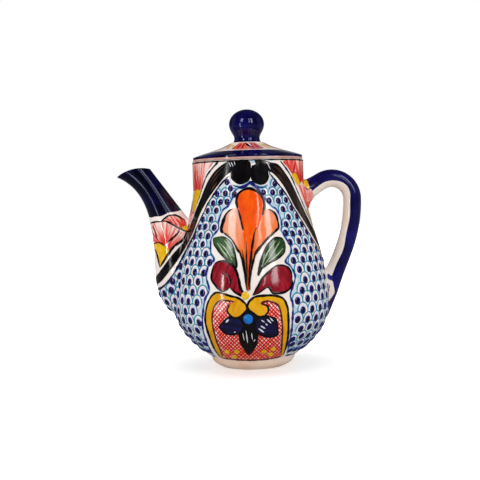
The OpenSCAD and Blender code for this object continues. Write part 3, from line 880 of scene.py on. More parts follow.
HATCHED = [(-39.5, 11), (-18.5, 10), (-6, 9.5), (16.5, 9.5), (34, 11.5), (24.5, 24.5), (22, 34), (20.5, 43),
           (17, 56.5), (11.5, 59.5), (-3.5, 58), (-12, 60), (-20.5, 61), (-26.5, 58.5), (-29.5, 50),
           (-31.5, 28.5), (-34, 20)]
PETAL_L = [(-25.5, 40), (-18, 47), (-14, 47.5), (-10, 46.5), (-7, 43), (-7.5, 38), (-11, 35), (-15.5, 33.5),
           (-21, 34.5)]
PETAL_R = [(1.5, 43), (4, 47), (8, 48), (12.5, 47), (16, 44.5), (18.5, 34), (18, 32), (13.5, 30.5),
           (8.5, 31.5), (4, 34), (1, 38)]
PETAL_B = [(-11, 35), (-11.5, 28), (-10, 22), (-5, 15), (2.5, 24), (3.5, 30), (3.5, 34), (1.5, 43),
           (-3.5, 44), (-7, 43)]
FLOWER_HEART = [(-12.5, 46.8), (-8.5, 48.3), (-4.6, 52.8), (-4, 54), (-3.3, 53.2), (-1.5, 51.8), (3, 48.2),
                (6, 47), (3, 44), (-3.5, 42), (-8, 44)]
BORDER_L = [(0.5, 150), (-10, 146.5), (-14.5, 144), (-16, 140), (-20.5, 133), (-25.5, 130), (-28, 125),
            (-29, 120), (-28.5, 115), (-33.5, 109.5), (-34.5, 105.5), (-33, 97), (-29.5, 91.5), (-34, 86.5),
            (-35, 82), (-35, 77.5), (-32, 68), (-35.5, 60.5), (-38.5, 45), (-40.5, 36), (-43, 27),
            (-48, 19), (-57, 11.5)]
BORDER_R = [(0.5, 150), (9, 145), (13, 141), (20, 132.5), (25, 129.5), (27.5, 125), (28.5, 119.5),
            (28, 115), (27, 112.5), (31, 104.5), (33, 100.5), (32.5, 95.5), (26.5, 89), (30, 85),
            (32.5, 79.5), (32.5, 74.5), (27.5, 63), (29, 55.5), (29, 41), (30.5, 30.5), (33.5, 21.5),
            (41.5, 13)]
LOBE_L = [(-8, 167.5), (-15, 166.5), (-17, 163), (-18, 157), (-17, 153.5), (-10.5, 149.5), (-4, 150),
          (1, 153), (2, 158), (2.5, 164.5), (0.5, 167.5)]
LOBE_R = [(9, 167.5), (6.5, 164.5), (3, 163), (2, 154), (7, 149.5), (13.5, 148.5), (18.5, 151), (21, 156),
          (21.5, 159), (20, 165), (16, 167)]
TOP_LINE = [(-16, 149), (-9, 147), (-4, 147.5), (1.5, 150.5), (7, 147.5), (13.5, 146.5), (19, 148.5)]
BAND_R_OUT = [(4, 168.5), (14, 168), (22.5, 166), (31.5, 164), (43, 154.5), (50, 147.5), (60.5, 133.5),
              (66, 124.5), (72.5, 116), (79, 109.5), (90, 102.5)]
BAND_R_IN = [(12, 160), (19.5, 159), (26, 156.5), (36.5, 147.5), (45, 136), (48.5, 130), (60.5, 114.5),
             (66, 107), (73, 99.5), (81, 93), (90, 89.5)]
BAND_R_INLINE = [(21, 157.5), (28.5, 150.5), (40.5, 139), (46.5, 129.5), (57.5, 114), (62.5, 106.5),
                 (70, 98), (79, 90), (90, 86)]
BAND_R_OUTLINE = [(33.5, 167), (46, 156.5), (58.5, 142), (69, 126.5), (75.5, 118.5), (83, 111), (90, 107)]
BAND_L_OUT = [(-4, 168.5), (-12, 168.5), (-21, 167.5), (-34, 161.5), (-45.5, 152.5), (-57.5, 138),
              (-65, 127), (-73.5, 108.5), (-76, 103)]
BAND_L_IN = [(-12, 160.5), (-21.5, 157.5), (-32.5, 149), (-43.5, 139.5), (-48, 134.5), (-53.5, 127),
             (-61.5, 108.5), (-66, 102)]
BAND_L_INLINE = [(-20, 156), (-29.5, 149.5), (-40, 139.5), (-44.5, 134.5), (-49.5, 126), (-62, 102),
                 (-68, 94)]
BAND_L_OUTLINE = [(-30.5, 168), (-43.5, 159.5), (-49.5, 154), (-60.5, 139), (-67.5, 128), (-73, 117.5)]
SEAM = 92
SEAM_HEIGHTS = (10.5, 18, 28, 40, 55, 70, 85)
FIELD_L = (BORDER_L + [(-70, 10.5)] + [(-SEAM, z) for z in SEAM_HEIGHTS] + BAND_L_INLINE[::-1]
           + [(-17, 149.5), (-5.5, 148)])
FIELD_R = (BORDER_R + [(60, 10.5)] + [(SEAM, z) for z in SEAM_HEIGHTS] + BAND_R_INLINE[-2::-1]
           + [(17, 149.5), (9, 146)])
SPOUT_BAND_OUT = [(-46.5, 121.5), (-52, 108.5), (-55.5, 103), (-64, 94), (-76.5, 78.5), (-82, 72)]
SPOUT_BAND_IN = [(-41.5, 122), (-47.5, 108.5), (-57.5, 92.5), (-71.5, 75), (-76.5, 70.5), (-82, 66)]
SPOUT_INLINE = [(-43, 113.5), (-55.5, 91.5), (-61, 82), (-66.5, 74), (-73, 68), (-79, 64.5)]
SPOUT_OUTLINE = [(-49, 119), (-52.5, 110), (-55, 106), (-59.5, 103), (-64, 99), (-74.5, 84)]
SPOUT_TOP = [(-83, 120), (-77, 121.5), (-71.5, 121.5)]
SPOUT_PETAL_TOP = [(-72.5, 121.5), (-66.5, 126), (-62.5, 126.5), (-59.5, 126), (-53, 122)]
SPOUT_PETAL_LOW = [(-71.5, 121.5), (-67.5, 121.5), (-59, 116.5), (-51.5, 112.5)]
SPOUT_PETAL_MID = SPOUT_TOP + [(-67.5, 121.5), (-57, 114.5), (-60.5, 110), (-67, 104.5), (-70.5, 102.5),
                               (-74.5, 104), (-80, 103), (-84, 110)]
SPOUT_PETAL_LAST = [(-55.5, 113), (-52.5, 111.5), (-54.5, 107), (-60.5, 103), (-66.5, 98), (-67, 102),
                    (-66.5, 104), (-59.5, 111)]
SPOUT_YELLOW = [(-79.5, 102.5), (-77.5, 103.5), (-74.5, 104), (-70.5, 102.5), (-66, 97.5), (-71, 89.5),
                (-74, 85.5), (-75, 87.5), (-78, 98.5)]


# The scale field: raised dots, an arch over each, and the coats of the body and the spout's foot

DOTS_ROUND, DOT_WIDE, DOT_TALL, DOT_HIGH = 38, 4.8, 5.3, 0.8
ARCH = [(-0.50, -0.22), (-0.48, 0.15), (-0.31, 0.48), (0.0, 0.61), (0.31, 0.48), (0.48, 0.15), (0.50, -0.22)]
SCALE_HALF_WIDE, SCALE_HALF_TALL, DOT_LOW, CELL_MOST = 0.46, 0.52, 0.10, 2.2
ARCH_WIDE, ARCH_LIFT, DOT_LIFT = 1.15, 0.07, 0.06
DOT_STEP, DOT_ROOM, DOT_MARGIN, HANDLE_ROOM = 1.5, 0.74, 2.3, 5.0
SEAM_ROOM = 3.6
FRONT_X, FRONT_Z, END_X, END_Z = (-85, 60), (16, 150), (SEAM_ROOM, 45), (16, 90)
DOT_GROWTH = (20, 70, 150), (1.22, 1.16, 0.95)
WASH_STRENGTH = (20, 60, 105, 150), (0.55, 0.65, 0.70, 0.65)
TOP_DOTS = [(-22, 151.5), (26.5, 149)]


def pitch(z):
    """Distance between the dots of a row."""
    return radius(z) * 2 * math.pi / DOTS_ROUND


def dot_size(z):
    """Width and height of a dot, larger towards the belly."""
    grow = np.interp(z, *DOT_GROWTH)
    return DOT_WIDE * grow, DOT_TALL * grow


def front_dots(node):
    """Degrees from the front and height of each of the node's solids on the front of the pot."""
    corners = np.round([tuple(v.co / MM) for v in node.data.vertices], 2)
    kinds, which = np.unique(corners, axis=0, return_inverse=True)
    group = np.arange(len(kinds))
    sides = [(which[a], which[b]) for a, b in (e.vertices for e in node.data.edges)]
    changed = True
    while changed:
        changed = False
        for a, b in sides:
            if group[a] != group[b]:
                group[a] = group[b] = min(group[a], group[b])
                changed = True
    middles = [kinds[group == g].mean(0) for g in np.unique(group)]
    return [(math.degrees(math.atan2(x, -y)), z) for x, y, z in middles if y < 0]


def in_field(points, margin=0.0):
    """Whether points of the body or the spout lie in the scale field, at least a margin from its edge."""
    turn = np.arctan2(points[:, 0], np.abs(points[:, 1]))
    flat = np.stack([turn * radius(points[:, 2]), points[:, 2]], 1)
    x, z = np.array(SPOUT_INLINE)[::-1].T
    under_line = points[:, 2] < np.interp(points[:, 0], x, z) - margin
    on_body = np.zeros(len(points), bool)
    for ring in FIELD_RINGS:
        on_body |= inside(flat, ring)
        if margin:
            on_body &= distance(flat, ring) >= margin
    return np.where(clear_of_body(points) > 0.5, under_line, on_body)


def more_dots(taken):
    """Places and normals of dots where the node has none: on the spout's foot, near roots and at borders."""
    front = [SIDE.seen(x, z) for z in np.arange(*FRONT_Z, DOT_STEP) for x in np.arange(*FRONT_X, DOT_STEP)]
    ends = [end.seen(x, z) for end, side in ((SPOUT_END, 1), (HANDLE_END, -1))
            for z in np.arange(*END_Z, DOT_STEP) for x in side * np.arange(*END_X, DOT_STEP)]
    found = [hit for hit in front + ends if hit]
    points = np.array([spot for spot, _ in found])
    kept = in_field(points, DOT_MARGIN) & ((points[:, 0] < 0) | (clear_of_body(points) < 0.3))
    kept &= points[:, 1] < -SEAM_ROOM + 0.01
    spots, more = [Vector(spot) for spot in taken], []
    for i in np.where(kept)[0]:
        spot, normal = found[i]
        room = DOT_ROOM * pitch(spot.z)
        nearest = min((spot - other).length for other in spots)
        if nearest > room and HANDLE.find_nearest(spot)[3] > HANDLE_ROOM:
            more.append((spot, normal))
            spots.append(spot)
    return more


FIELD_RINGS = [smooth(POT.flat(f), closed=True, step=1.2) for f in (FIELD_L, FIELD_R)]
SPOUT_END = Side((body_points, body_faces), (spout_points, spout_faces), along=(1, 0, 0))
HANDLE_END = Side((body_points, body_faces), (handle_points, handle_faces), along=(-1, 0, 0))
HANDLE = BVHTree.FromPolygons(handle_points.tolist(), handle_faces)
dot_places = np.array(front_dots(frame["nodes"]["slip_dots"]) + TOP_DOTS)
dot_spots = POT.place(POT.flat(dot_places), np.zeros(len(dot_places)))
dot_normals = dot_spots * (1, 1, 0) - np.outer(radius(dot_spots[:, 2]) * slope(dot_spots[:, 2]), (0, 0, 1))
dots = list(zip(dot_spots, dot_normals)) + more_dots(dot_spots)
bead_paint, arch_paint = Paint("raised_dots", BEAD, replaces="slip_dots"), Paint("scale_arches", TEAL)
for spot, normal in dots:
    patch = Patch(SIDE, spot, normal)
    bead_paint.dot((0, 0), *dot_size(spot[2]), DOT_LIFT, DOT_HIGH, patch)
    arch = smooth(np.array(ARCH) * pitch(spot[2]) * dice.uniform(0.95, 1.03), step=0.8)
    arch_paint.clipped(patch, arch, in_field(patch.place(arch, np.zeros(len(arch)))), ARCH_WIDE, ARCH_LIFT)


def cells(points):
    """How far out each point of a coat lies in its scale, and how strong the wash is there."""
    tree = KDTree(len(dots))
    for i, (spot, _) in enumerate(dots):
        tree.insert(Vector(spot), i)
    tree.balance()
    front = np.stack([points[:, 0], -np.abs(points[:, 1]), points[:, 2]], 1)
    cell = np.zeros(len(points))
    for i in np.where(in_field(front))[0]:
        size = pitch(front[i, 2])
        gaps = [front[i] - np.array(spot) for spot, _, _ in tree.find_n(Vector(front[i]), 3)]
        cell[i] = min(math.hypot(math.hypot(g[0], g[1]) / (SCALE_HALF_WIDE * size),
                                 (g[2] - DOT_LOW * size) / (SCALE_HALF_TALL * size)) for g in gaps)
    return {"cell": np.minimum(cell, CELL_MOST), "wash": np.interp(points[:, 2], *WASH_STRENGTH)}


piece("body_coat", body_points, body_faces, [FIELD], "pot", "white_glaze", **cells(body_points))
piece("spout_coat", spout_points, spout_faces, [FIELD, DEEP], "pot", "cobalt_glaze", spout_picks, "spout",
      **cells(spout_points))


# Black bands and lobes, and navy border lines over a sky-blue wash

# Heights over the coat that several layers of paint share, and tapers that strokes share
WASH, FIRST, SECOND, THIRD, FOURTH, FIFTH, MARK, TOP = 0.06, 0.10, 0.12, 0.14, 0.20, 0.22, 0.28, 0.30
FULL, SHORT = (0, 0), (0.1, 0.1)
bands, lobes = Paint("black_bands", BAND), Paint("black_lobes", BLACK)
bands.ribbon(BAND_R_OUT, BAND_R_IN, SECOND, axis=-50)
bands.ribbon(BAND_L_OUT, BAND_L_IN, SECOND, axis=50)
bands.ribbon(SPOUT_BAND_OUT, SPOUT_BAND_IN, FIFTH, SIDE, axis=45, spacing=0.6)
lobes.fill(LOBE_L, 0.15)
lobes.fill(LOBE_R, 0.15)
# A black line round the neck's top under the lid's edge: partly a painted line, partly painted shadow of the
# gap under the lid
lobes.stroke([(-90, 168.1), (-45, 168.1), (0, 168.1), (45, 168.1), (90, 168.1)], 1.1, 0.24, taper=FULL)
# Brown streaks along the upper black bands: painted reflections of light in the black glaze
streaks = Paint("band_painted_reflections", BROWN_REFLECTION)
streaks.paths([
    [(-25, 164), (-34, 158.5), (-42, 151)], [(-27, 160.5), (-36, 153.5), (-43, 146)],
    [(-33, 152), (-41, 145)], [(25, 163), (32, 160), (39, 153)], [(29, 157.5), (37, 150.5)]
], [0.8, 1.6, 0.8], 0.26, crown=0.02, taper=(0.5, 0.5))

lines, glow = Paint("navy_lines", NAVY), Paint("sky_wash", SKY)
for border in (BORDER_L, BORDER_R):
    glow.stroke(border, 2.4, WASH, crown=0.01, taper=FULL)
    lines.stroke(border, [1.4, 1.1, 1.2, 1.5, 1.7, 1.8], FIRST, taper=(0, 0.05), wobble=0.35)
glow.stroke(TOP_LINE, 3.0, WASH, crown=0.01)
band_lines = Paint("band_lines", INDIGO)
band_lines.stroke(TOP_LINE, [1.2, 1.6, 1.8, 2.6, 2.0, 1.5, 1.1], FIRST, wobble=0.25)
for line in (BAND_R_INLINE, BAND_L_INLINE, BAND_R_OUTLINE, BAND_L_OUTLINE):
    band_lines.stroke(line, 1.45, FIRST, taper=(0.03, 0), wobble=0.2)
band_lines.stroke(SPOUT_INLINE, 1.7, SECOND, SIDE, taper=FULL, wobble=0.2)
lines.stroke([(-90, 10.5), (-70, 10.5), (-56, 11)], 1.7, FIRST, taper=(0, 0.1), wobble=0.3)
lines.stroke([(42, 11), (66, 10.5), (90, 10.5)], 1.7, FIRST, taper=(0.1, 0), wobble=0.3)
glow.fill([(2.5, 167.5), (6.5, 167.5), (4.5, 165.2)], MARK, dome=0.02, spacing=0.8)


# The bouquet on the front

ink = Paint("black_outlines", BLACK)
wine = Paint("wine_lines", WINE)
INK_OVER = 0.16


def part_of(outline, first, last):
    """The points of an outline from one number to another, past its end if need be."""
    return [outline[i % len(outline)] for i in range(first, last + 1)]


def motif(paint, outline, lift, edges, **brush):
    """A painted shape, with lines along parts of its edge: brush, first point, last point and widths."""
    paint.fill(outline, lift, **brush)
    for liner, first, last, widths in edges:
        liner.stroke(part_of(outline, first, last), widths, lift + INK_OVER, taper=SHORT)


pink_petal, salmon = Paint("pink_petal", PLUME_PINK), Paint("salmon_petal", PLUME)
orange = Paint("orange_petal", ORANGE)
STEM = (-3, 62)
motif(pink_petal, PLUME_L, SECOND, [
    (ink, 1, 5, [1.0, 1.5, 2.6, 3.0, 2.6]), (ink, 5, 8, [1.6, 1.3, 1.6])], pole=STEM)
motif(salmon, PLUME_R, SECOND, [(ink, 1, 8, [1.2, 1.9, 1.6, 2.0, 1.8, 2.2, 2.4])], pole=STEM)
motif(orange, PLUME_MID, FOURTH, [(ink, 0, 6, [2.6, 2.2, 1.6, 2.2, 2.2, 2.2, 2.4, 1.8])], pole=STEM)
ink.strokes([
    ([(-11, 130.5), (-8.5, 123), (-6, 113.5)], 1.6), ([(13, 129), (11, 124.5)], 1.5),
    ([(6, 116.5), (3.5, 112), (2, 106), (0.5, 98.5), (-0.5, 89.5), (-2.5, 76)],
     [0.6, 2.0, 1.8, 1.4, 1.0, 0.5]),
    ([(-3.4, 105), (-3.7, 92.5), (-3.3, 76)], [0.7, 1.1, 0.8]),
    ([(-7, 99), (-6, 92), (-4.6, 82), (-3.6, 74)], [0.8, 1.3, 1.1, 0.8]),
    ([(-0.8, 98), (-1.6, 86), (-2.5, 71)], [0.5, 0.9, 0.9]),
    ([(-11.5, 101), (-8.6, 96.5), (-6, 86.5), (-4.5, 74.5), (-4, 68)], [1.4, 1.6, 1.5, 1.3, 1.1]),
    ([(6.5, 100), (3, 94.5), (0.5, 86.5), (-1.5, 76), (-1.5, 68)], [1.6, 1.7, 1.5, 1.3, 1.1])
], 0.37, taper=(0.35, 0.2))
orange.strokes([
    ([(-5.5, 113), (-4.5, 104), (-3.5, 91)], [2.6, 1.7, 0.6]),
    ([(-1.5, 112), (-1.5, 100), (-2.5, 84)], [3.2, 2.0, 0.7]),
    ([(2.5, 113), (1, 104), (-0.8, 93)], [2.4, 1.6, 0.6])
], 0.26, taper=(0.2, 0.5))

leaves, leaf_light = Paint("green_leaves", GREEN), Paint("leaf_highlights", LEAF_PALE)
motif(leaves, LEAF_L, SECOND, [
    (ink, 6, 9, [2.0, 1.7, 1.4, 0.8]), (ink, 2, 6, [0.6, 0.8, 1.3, 2.0])], axis=-52)
motif(leaves, LEAF_R, SECOND, [
    (ink, 3, 8, [1.2, 1.7, 1.2, 1.3, 1.6]), (ink, 7, 13, [1.6, 1.2, 1.2, 1.3, 0.8])], axis=48)
leaf_light.paths([
    [(-25, 104), (-19, 98), (-14.5, 90.5)], [(-22, 106.5), (-17, 100.5), (-13, 93)],
    [(-28, 104.5), (-22.5, 98), (-17.5, 92.5)], [(24, 104), (17, 96), (9.5, 87)],
    [(21, 105), (14, 98), (8, 88)], [(26, 99), (19, 93), (12, 88.5)]
], 0.9, 0.25, crown=0.03, taper=(0.4, 0.5))

paisleys = Paint("maroon_petals", MAROON)
motif(paisleys, PAISLEY_L, SECOND, [
    (ink, 0, 9, [1.2, 1.2, 1.6, 2.0, 2.1, 2.3, 1.7, 1.3]),
    (ink, 9, 15, [1.1, 1.1, 1.6, 2.0, 1.7, 1.3])], axis=70)
motif(paisleys, PAISLEY_R, SECOND, [
    (ink, 0, 8, [1.7, 1.6, 1.3, 1.1, 1.4, 1.6, 1.8, 1.5]),
    (ink, 8, 16, [1.2, 1.1, 1.4, 1.8, 1.8, 1.6, 1.7])], axis=110)
ink.stroke([(-21, 81.5), (-17, 79), (-15.5, 74.5), (-16, 70.5)], 1.5, MARK, taper=(0.5, 0.3))


# The hatched panel at the foot, its scrolls, flower and beads

HATCH_STEP, HATCH_LEAN, HATCH_WIDE, HATCH_LIFT = 2.25, 47.0, 1.28, 0.09
HATCH_SWAY, HATCH_WAVE, HATCH_DRIFT = 0.25, 0.16, 0.15
hatch, hatch_lines = Paint("hatched_panel", HATCH), Paint("hatch_lines", HATCHING)
hatch.fill(HATCHED, WASH, dome=0.01)
hatch_ring = smooth(POT.flat(HATCHED), closed=True)
hatch_middle, hatch_reach = hatch_ring.mean(0), np.ptp(hatch_ring, axis=0).max()
for lean in (HATCH_LEAN, -HATCH_LEAN):
    along = np.array([math.cos(math.radians(lean)), math.sin(math.radians(lean))])
    across = np.array([-along[1], along[0]])
    steps = np.arange(-hatch_reach, hatch_reach, 1.2)
    for offset in np.arange(-hatch_reach, hatch_reach, HATCH_STEP):
        sway = HATCH_SWAY * np.sin(steps * HATCH_WAVE + dice.uniform(0, 6))
        sway += dice.uniform(-HATCH_DRIFT, HATCH_DRIFT)
        path = hatch_middle + along * steps[:, None] + across * (offset + sway)[:, None]
        hatch_lines.clipped(POT, path, inside(path, hatch_ring), HATCH_WIDE, HATCH_LIFT)

scrolls = Paint("gold_scrolls", GOLD)
motif(scrolls, SCROLL_L, THIRD, [
    (ink, 0, 13, [1.6, 2.0, 2.2, 1.9, 1.5, 1.5, 1.8, 1.6, 1.4]), (ink, 12, 17, 1.5), (wine, 18, 25, 1.5)],
    axis=70)
motif(scrolls, SCROLL_R, THIRD, [
    (ink, 0, 15, [1.6, 2.0, 2.1, 1.9, 1.7, 1.9, 1.9, 1.4, 1.6]), (ink, 14, 18, 1.5), (wine, 17, 25, 1.5)],
    axis=110)
wine.stroke([(-46, 10.5), (-18.5, 9.7), (-6, 9.5), (10, 9.6), (24, 10), (37, 11)], 1.7, SECOND, taper=SHORT)

flower = Paint("indigo_flower", INDIGO)
ink.fill(FLOWER_HEART, 0.18)
ink.fill(PETAL_B, FOURTH)
motif(flower, PETAL_L, FIFTH, [(ink, 0, 9, 1.2)], axis=0)
motif(flower, PETAL_R, FIFTH, [(ink, 0, 11, 1.2)], axis=0)
chalk = Paint("chalk_strokes", CHALK)
chalk.strokes([
    ([(5.5, 45), (8, 43)], 0.9), ([(9.5, 45.5), (12.5, 42)], 1.1), ([(11.5, 46.5), (14, 43.5)], 0.9),
    ([(8.5, 42), (10, 40.5)], 0.9), ([(5, 40.5), (8.5, 38)], 1.2), ([(3.5, 38.5), (7.5, 35)], 1.2),
    ([(-8, 35), (-7.5, 28.5)], 0.6), ([(-5.5, 37), (-5, 26.5)], 0.8), ([(-1.5, 35), (-1, 29)], 0.65),
    ([(1, 29.5), (0, 27.5)], 0.8), ([(-19.5, 43.5), (-17, 46)], 1.3), ([(-14.5, 35.5), (-13, 36)], 0.7)
], 0.36, crown=0.03, taper=(0.4, 0.4), step=0.4)

beadlets, azure = Paint("gold_beads", YELLOW), Paint("azure_bead", AZURE)
beadlets.dot((-5, 64), 6.0, 6.2, TOP, 0.45)
for spot in ((-28, 17.5), (-17, 18), (-23, 13), (10, 17.5), (18.5, 19.5), (18, 14.5)):
    beadlets.dot(spot, 4.8, 3.8, THIRD, 0.35)
azure.dot((-3.5, 46), 7.2, 7.6, 0.40, 0.55)


# Thin pale strokes in the black lobes

chalk.paths([
    [(-19.5, 167), (-17.5, 163.5)], [(-17, 167), (-15, 163.5)], [(-14, 167.5), (-13, 164.5)],
    [(16, 166.5), (19, 165), (22, 160.5)], [(18, 166.5), (21.5, 164.5)], [(20, 159), (20.5, 155.5)],
    [(2, 167.5), (4.5, 165.5)], [(6, 167.5), (5, 165.5)]
], 0.55, TOP, crown=0.02, taper=(0.4, 0.5), step=0.4)


# Carnations beside the spout and the handle

fans, fans_red = Paint("carnation_petals", FAN), Paint("carnation_red_petals", FAN_RED)
fans_neck = Paint("carnation_neck_petals", FAN_NECK)
yellow, veins = Paint("yellow_hearts", YELLOW), Paint("carnation_veins", RED)
for outline, pole in (
        ([(-37.5, 167.5), (-45, 161.5), (-50.5, 156), (-55, 149), (-59, 145.5), (-65, 147), (-67, 157),
          (-64, 168), (-50, 168)], (-59, 143)),
        ([(-65, 168), (-68, 157), (-66, 147), (-72, 145.5), (-90, 149), (-90, 168)], (-66, 143)),
        ([(37, 166.5), (43, 162), (48.5, 157.5), (52, 158), (56, 168), (46, 168)], (49, 154)),
        ([(57, 168), (53, 158), (57, 158), (62, 154.5), (66.5, 150), (70, 151), (76, 160), (78, 168)],
         (66, 147)),
        ([(79, 168), (77, 159), (71, 150.5), (78, 150), (90, 152), (90, 168)], (70, 146)),
        ([(59, 147), (66.5, 148), (74, 146.5), (76, 138), (80, 131), (74, 133), (63, 143.5)], (80.5, 128)),
        ([(-67, 127.5), (-73, 129.5), (-80, 136), (-90, 138), (-90, 124), (-80, 120), (-73, 117.5)],
         (-68, 140))):
    fans_neck.fill(outline, SECOND, pole=pole)
fans.fill(SPOUT_PETAL_MID, THIRD, SIDE, pole=(-69, 99))
fans.fill(SPOUT_PETAL_LAST, THIRD, SIDE, pole=(-68, 96))
fans_red.fill(SPOUT_PETAL_TOP + SPOUT_PETAL_LOW[::-1], THIRD, SIDE, pole=(-50.5, 112.5))
for lift, outline in (
        (THIRD, [(48.5, 157), (55.5, 157.5), (61, 154), (65.5, 149), (59.5, 147.5), (53, 151.5)]),
        (THIRD, [(-57, 145.5), (-65, 146.5), (-75, 145), (-78, 138), (-72, 130.5), (-66, 129),
                (-61.5, 137.5)]),
        (0.13, [(73, 127.5), (79, 130), (87, 128), (88, 120), (81, 118), (76.5, 121.5)])):
    yellow.fill(outline, lift)
yellow.fill(SPOUT_YELLOW, 0.16, SIDE)
yellow.fill([(-57.5, 116), (-54.5, 117.5), (-51.5, 118), (-50, 114.5), (-52, 113), (-55, 114)], FOURTH, SIDE)
wine.strokes([
    ([(-79.5, 119.5), (-77.5, 113.5), (-75.5, 106)], 1.1),
    ([(-80, 103.5), (-74.5, 104.5), (-70.5, 102.5), (-69, 101)], 1.2)
], 0.29, SIDE)
ink.strokes([
    (SPOUT_TOP, 1.3), (SPOUT_PETAL_TOP, 1.4), (SPOUT_PETAL_LOW, 1.4), (SPOUT_OUTLINE, 2.0),
    ([(-57, 114), (-60.5, 110), (-67.5, 104.5)], 1.5),
    ([(-78.5, 99.5), (-76.5, 94.5), (-74.5, 84.5)], 1.4)
], 0.27, SIDE)
veins.strokes([
    ([(-52.5, 168), (-55.5, 158), (-58.5, 147)], 1.1), ([(-62, 168), (-62.5, 158), (-60.5, 147)], 1.0),
    ([(-72, 168), (-69, 157), (-65, 147)], 1.0), ([(56.5, 168), (53.5, 160), (50, 156.5)], 1.1),
    ([(66, 168), (66, 160), (66.5, 151)], 1.0), ([(78.5, 168), (75, 158), (70, 151)], 1.1),
    ([(48, 157.5), (56, 158), (61.5, 154), (66, 148.5)], 1.0),
    ([(66.5, 148), (70, 142), (80, 130.5)], 1.1), ([(74.5, 146.5), (77, 139), (80.5, 130.5)], 1.0)
], MARK)


# Petals on the web at the handle's upper root, and the bare patch at its lower root

web, stripes = Paint("web_petals", PINK), Paint("web_stripes", SALMON)
fans.fill([(42.5, 148), (45, 149), (47, 145), (47.5, 143), (47, 133), (48.5, 129), (47, 130.5), (45.5, 135),
           (44.5, 140), (43, 144.5)], 0.24, GRIP, pole=(48.5, 127))
web.fill([(47.5, 143), (51, 144.5), (52.5, 142), (53.5, 138.5), (53, 134), (51.5, 131), (49.5, 129),
          (47, 133)], 0.18, GRIP)
for down in range(0, 10, 2):
    path = [(47.6, 139.5 - down), (50, 141 - down), (52.2, 143 - down)]
    stripes.stroke(path, [1.1, 0.8, 0.5], TOP, GRIP)
fans_red.fill([(47, 134), (49.5, 134), (51, 131.5), (49.5, 129), (48, 130)], TOP, GRIP, pole=(49.5, 127))
yellow.fill([(45, 151.5), (48, 152), (49, 149), (50, 146), (49, 144.5), (46.5, 146.5), (45, 149.5)],
            MARK, GRIP)
wine.stroke([(45, 147), (47, 145), (49, 144.3)], 1.2, 0.42, GRIP)
ink.stroke([(49.3, 128.8), (51, 130.2), (52.3, 132.5)], 1.0, 0.42, GRIP)
bare, root_navy = Paint("root_bare_patch", PALE), Paint("root_navy_patch", NAVY)
bare.fill([(63.5, 70), (66.5, 68.5), (67.5, 64), (68, 59), (65.5, 55), (63.5, 52), (63, 59), (63, 65)],
          SECOND, GRIP)
root_navy.fill([(63, 74.5), (65, 73.5), (67, 71.5), (66.5, 68.5), (63.5, 70), (62.5, 71.5)], THIRD, GRIP)
wine.stroke([(64, 65.5), (63.2, 60)], 0.8, MARK, GRIP)
wine.stroke([(64.4, 54.5), (63.5, 50)], 0.8, MARK, GRIP)


# Flowers on the lid

lid_red, lid_orange = Paint("lid_red_strokes", RED, "lid"), Paint("lid_orange_petals", SALMON, "lid")
lid_mauve, lid_gold = Paint("lid_mauve_petals", MAUVE, "lid"), Paint("lid_yellow_strokes", YELLOW, "lid")
lid_ink, lid_highlight = Paint("lid_black_strokes", BLACK, "lid"), Paint("lid_highlight_strokes", CHALK, "lid")
LEFT_PETAL = [(-26, 15), (-30, 20), (-29, 26), (-20, 30), (-8, 31), (1, 30), (2, 22), (1, 15), (-12, 14.3)]
RIGHT_PETAL = [(2, 15), (3, 22), (2, 30), (12, 31), (24, 29.5), (30, 25), (30, 19), (26, 15), (14, 14.3)]
for turn in range(0, 360, 90):
    lid_orange.fill([(turn + a, r) for a, r in LEFT_PETAL], 0.07, LID, pole=(turn, 6))
    lid_mauve.fill([(turn + a, r) for a, r in RIGHT_PETAL], 0.07, LID, pole=(turn, 6))
    for a, width in ((-25, 2.0), (-17, 2.4), (-9, 2.2), (11, 1.6), (20, 1.6)):
        path = [(turn + a, 15), (turn + a - 1, 21), (turn + a, 28.5)]
        lid_red.stroke(path, width, FIFTH, LID, taper=(0.3, 0.3))
    lid_ink.stroke([(turn - 6, 15), (turn + 1, 19), (turn + 6, 24)], [1.2, 2.2, 1.0], TOP, LID)
    # White strokes beside the black ones: painted highlights on the glossy black strokes
    lid_highlight.stroke([(turn + 1, 15), (turn + 6, 18.5), (turn + 9, 22)], [0.8, 1.4, 0.6], TOP, LID)
    lid_ink.stroke([(turn - 52, 18), (turn - 47, 22), (turn - 40, 24)], 1.1, FIRST, LID)
    for a, r in ((40, 18), (46, 23), (52, 19)):
        path = [(turn + a - 5, r - 2), (turn + a, r), (turn + a + 5, r + 2.5)]
        lid_gold.stroke(path, 2.2, FIRST, LID, crown=0.08)
for painted in Paint.made:
    painted.done()


# Floor, light and camera

FLOOR_RINGS, FLOOR_AROUND, FLOOR_NEAR, FLOOR_FAR = 24, 96, 0.005, 4.0
FLOOR_PALE, FLOOR_GREY, FLOOR_HIDDEN = (238, 237, 236), (243, 243, 242), (40, 40, 40)
WHITE_LIGHT = (1.0, 1.0, 1.0, 1.0)


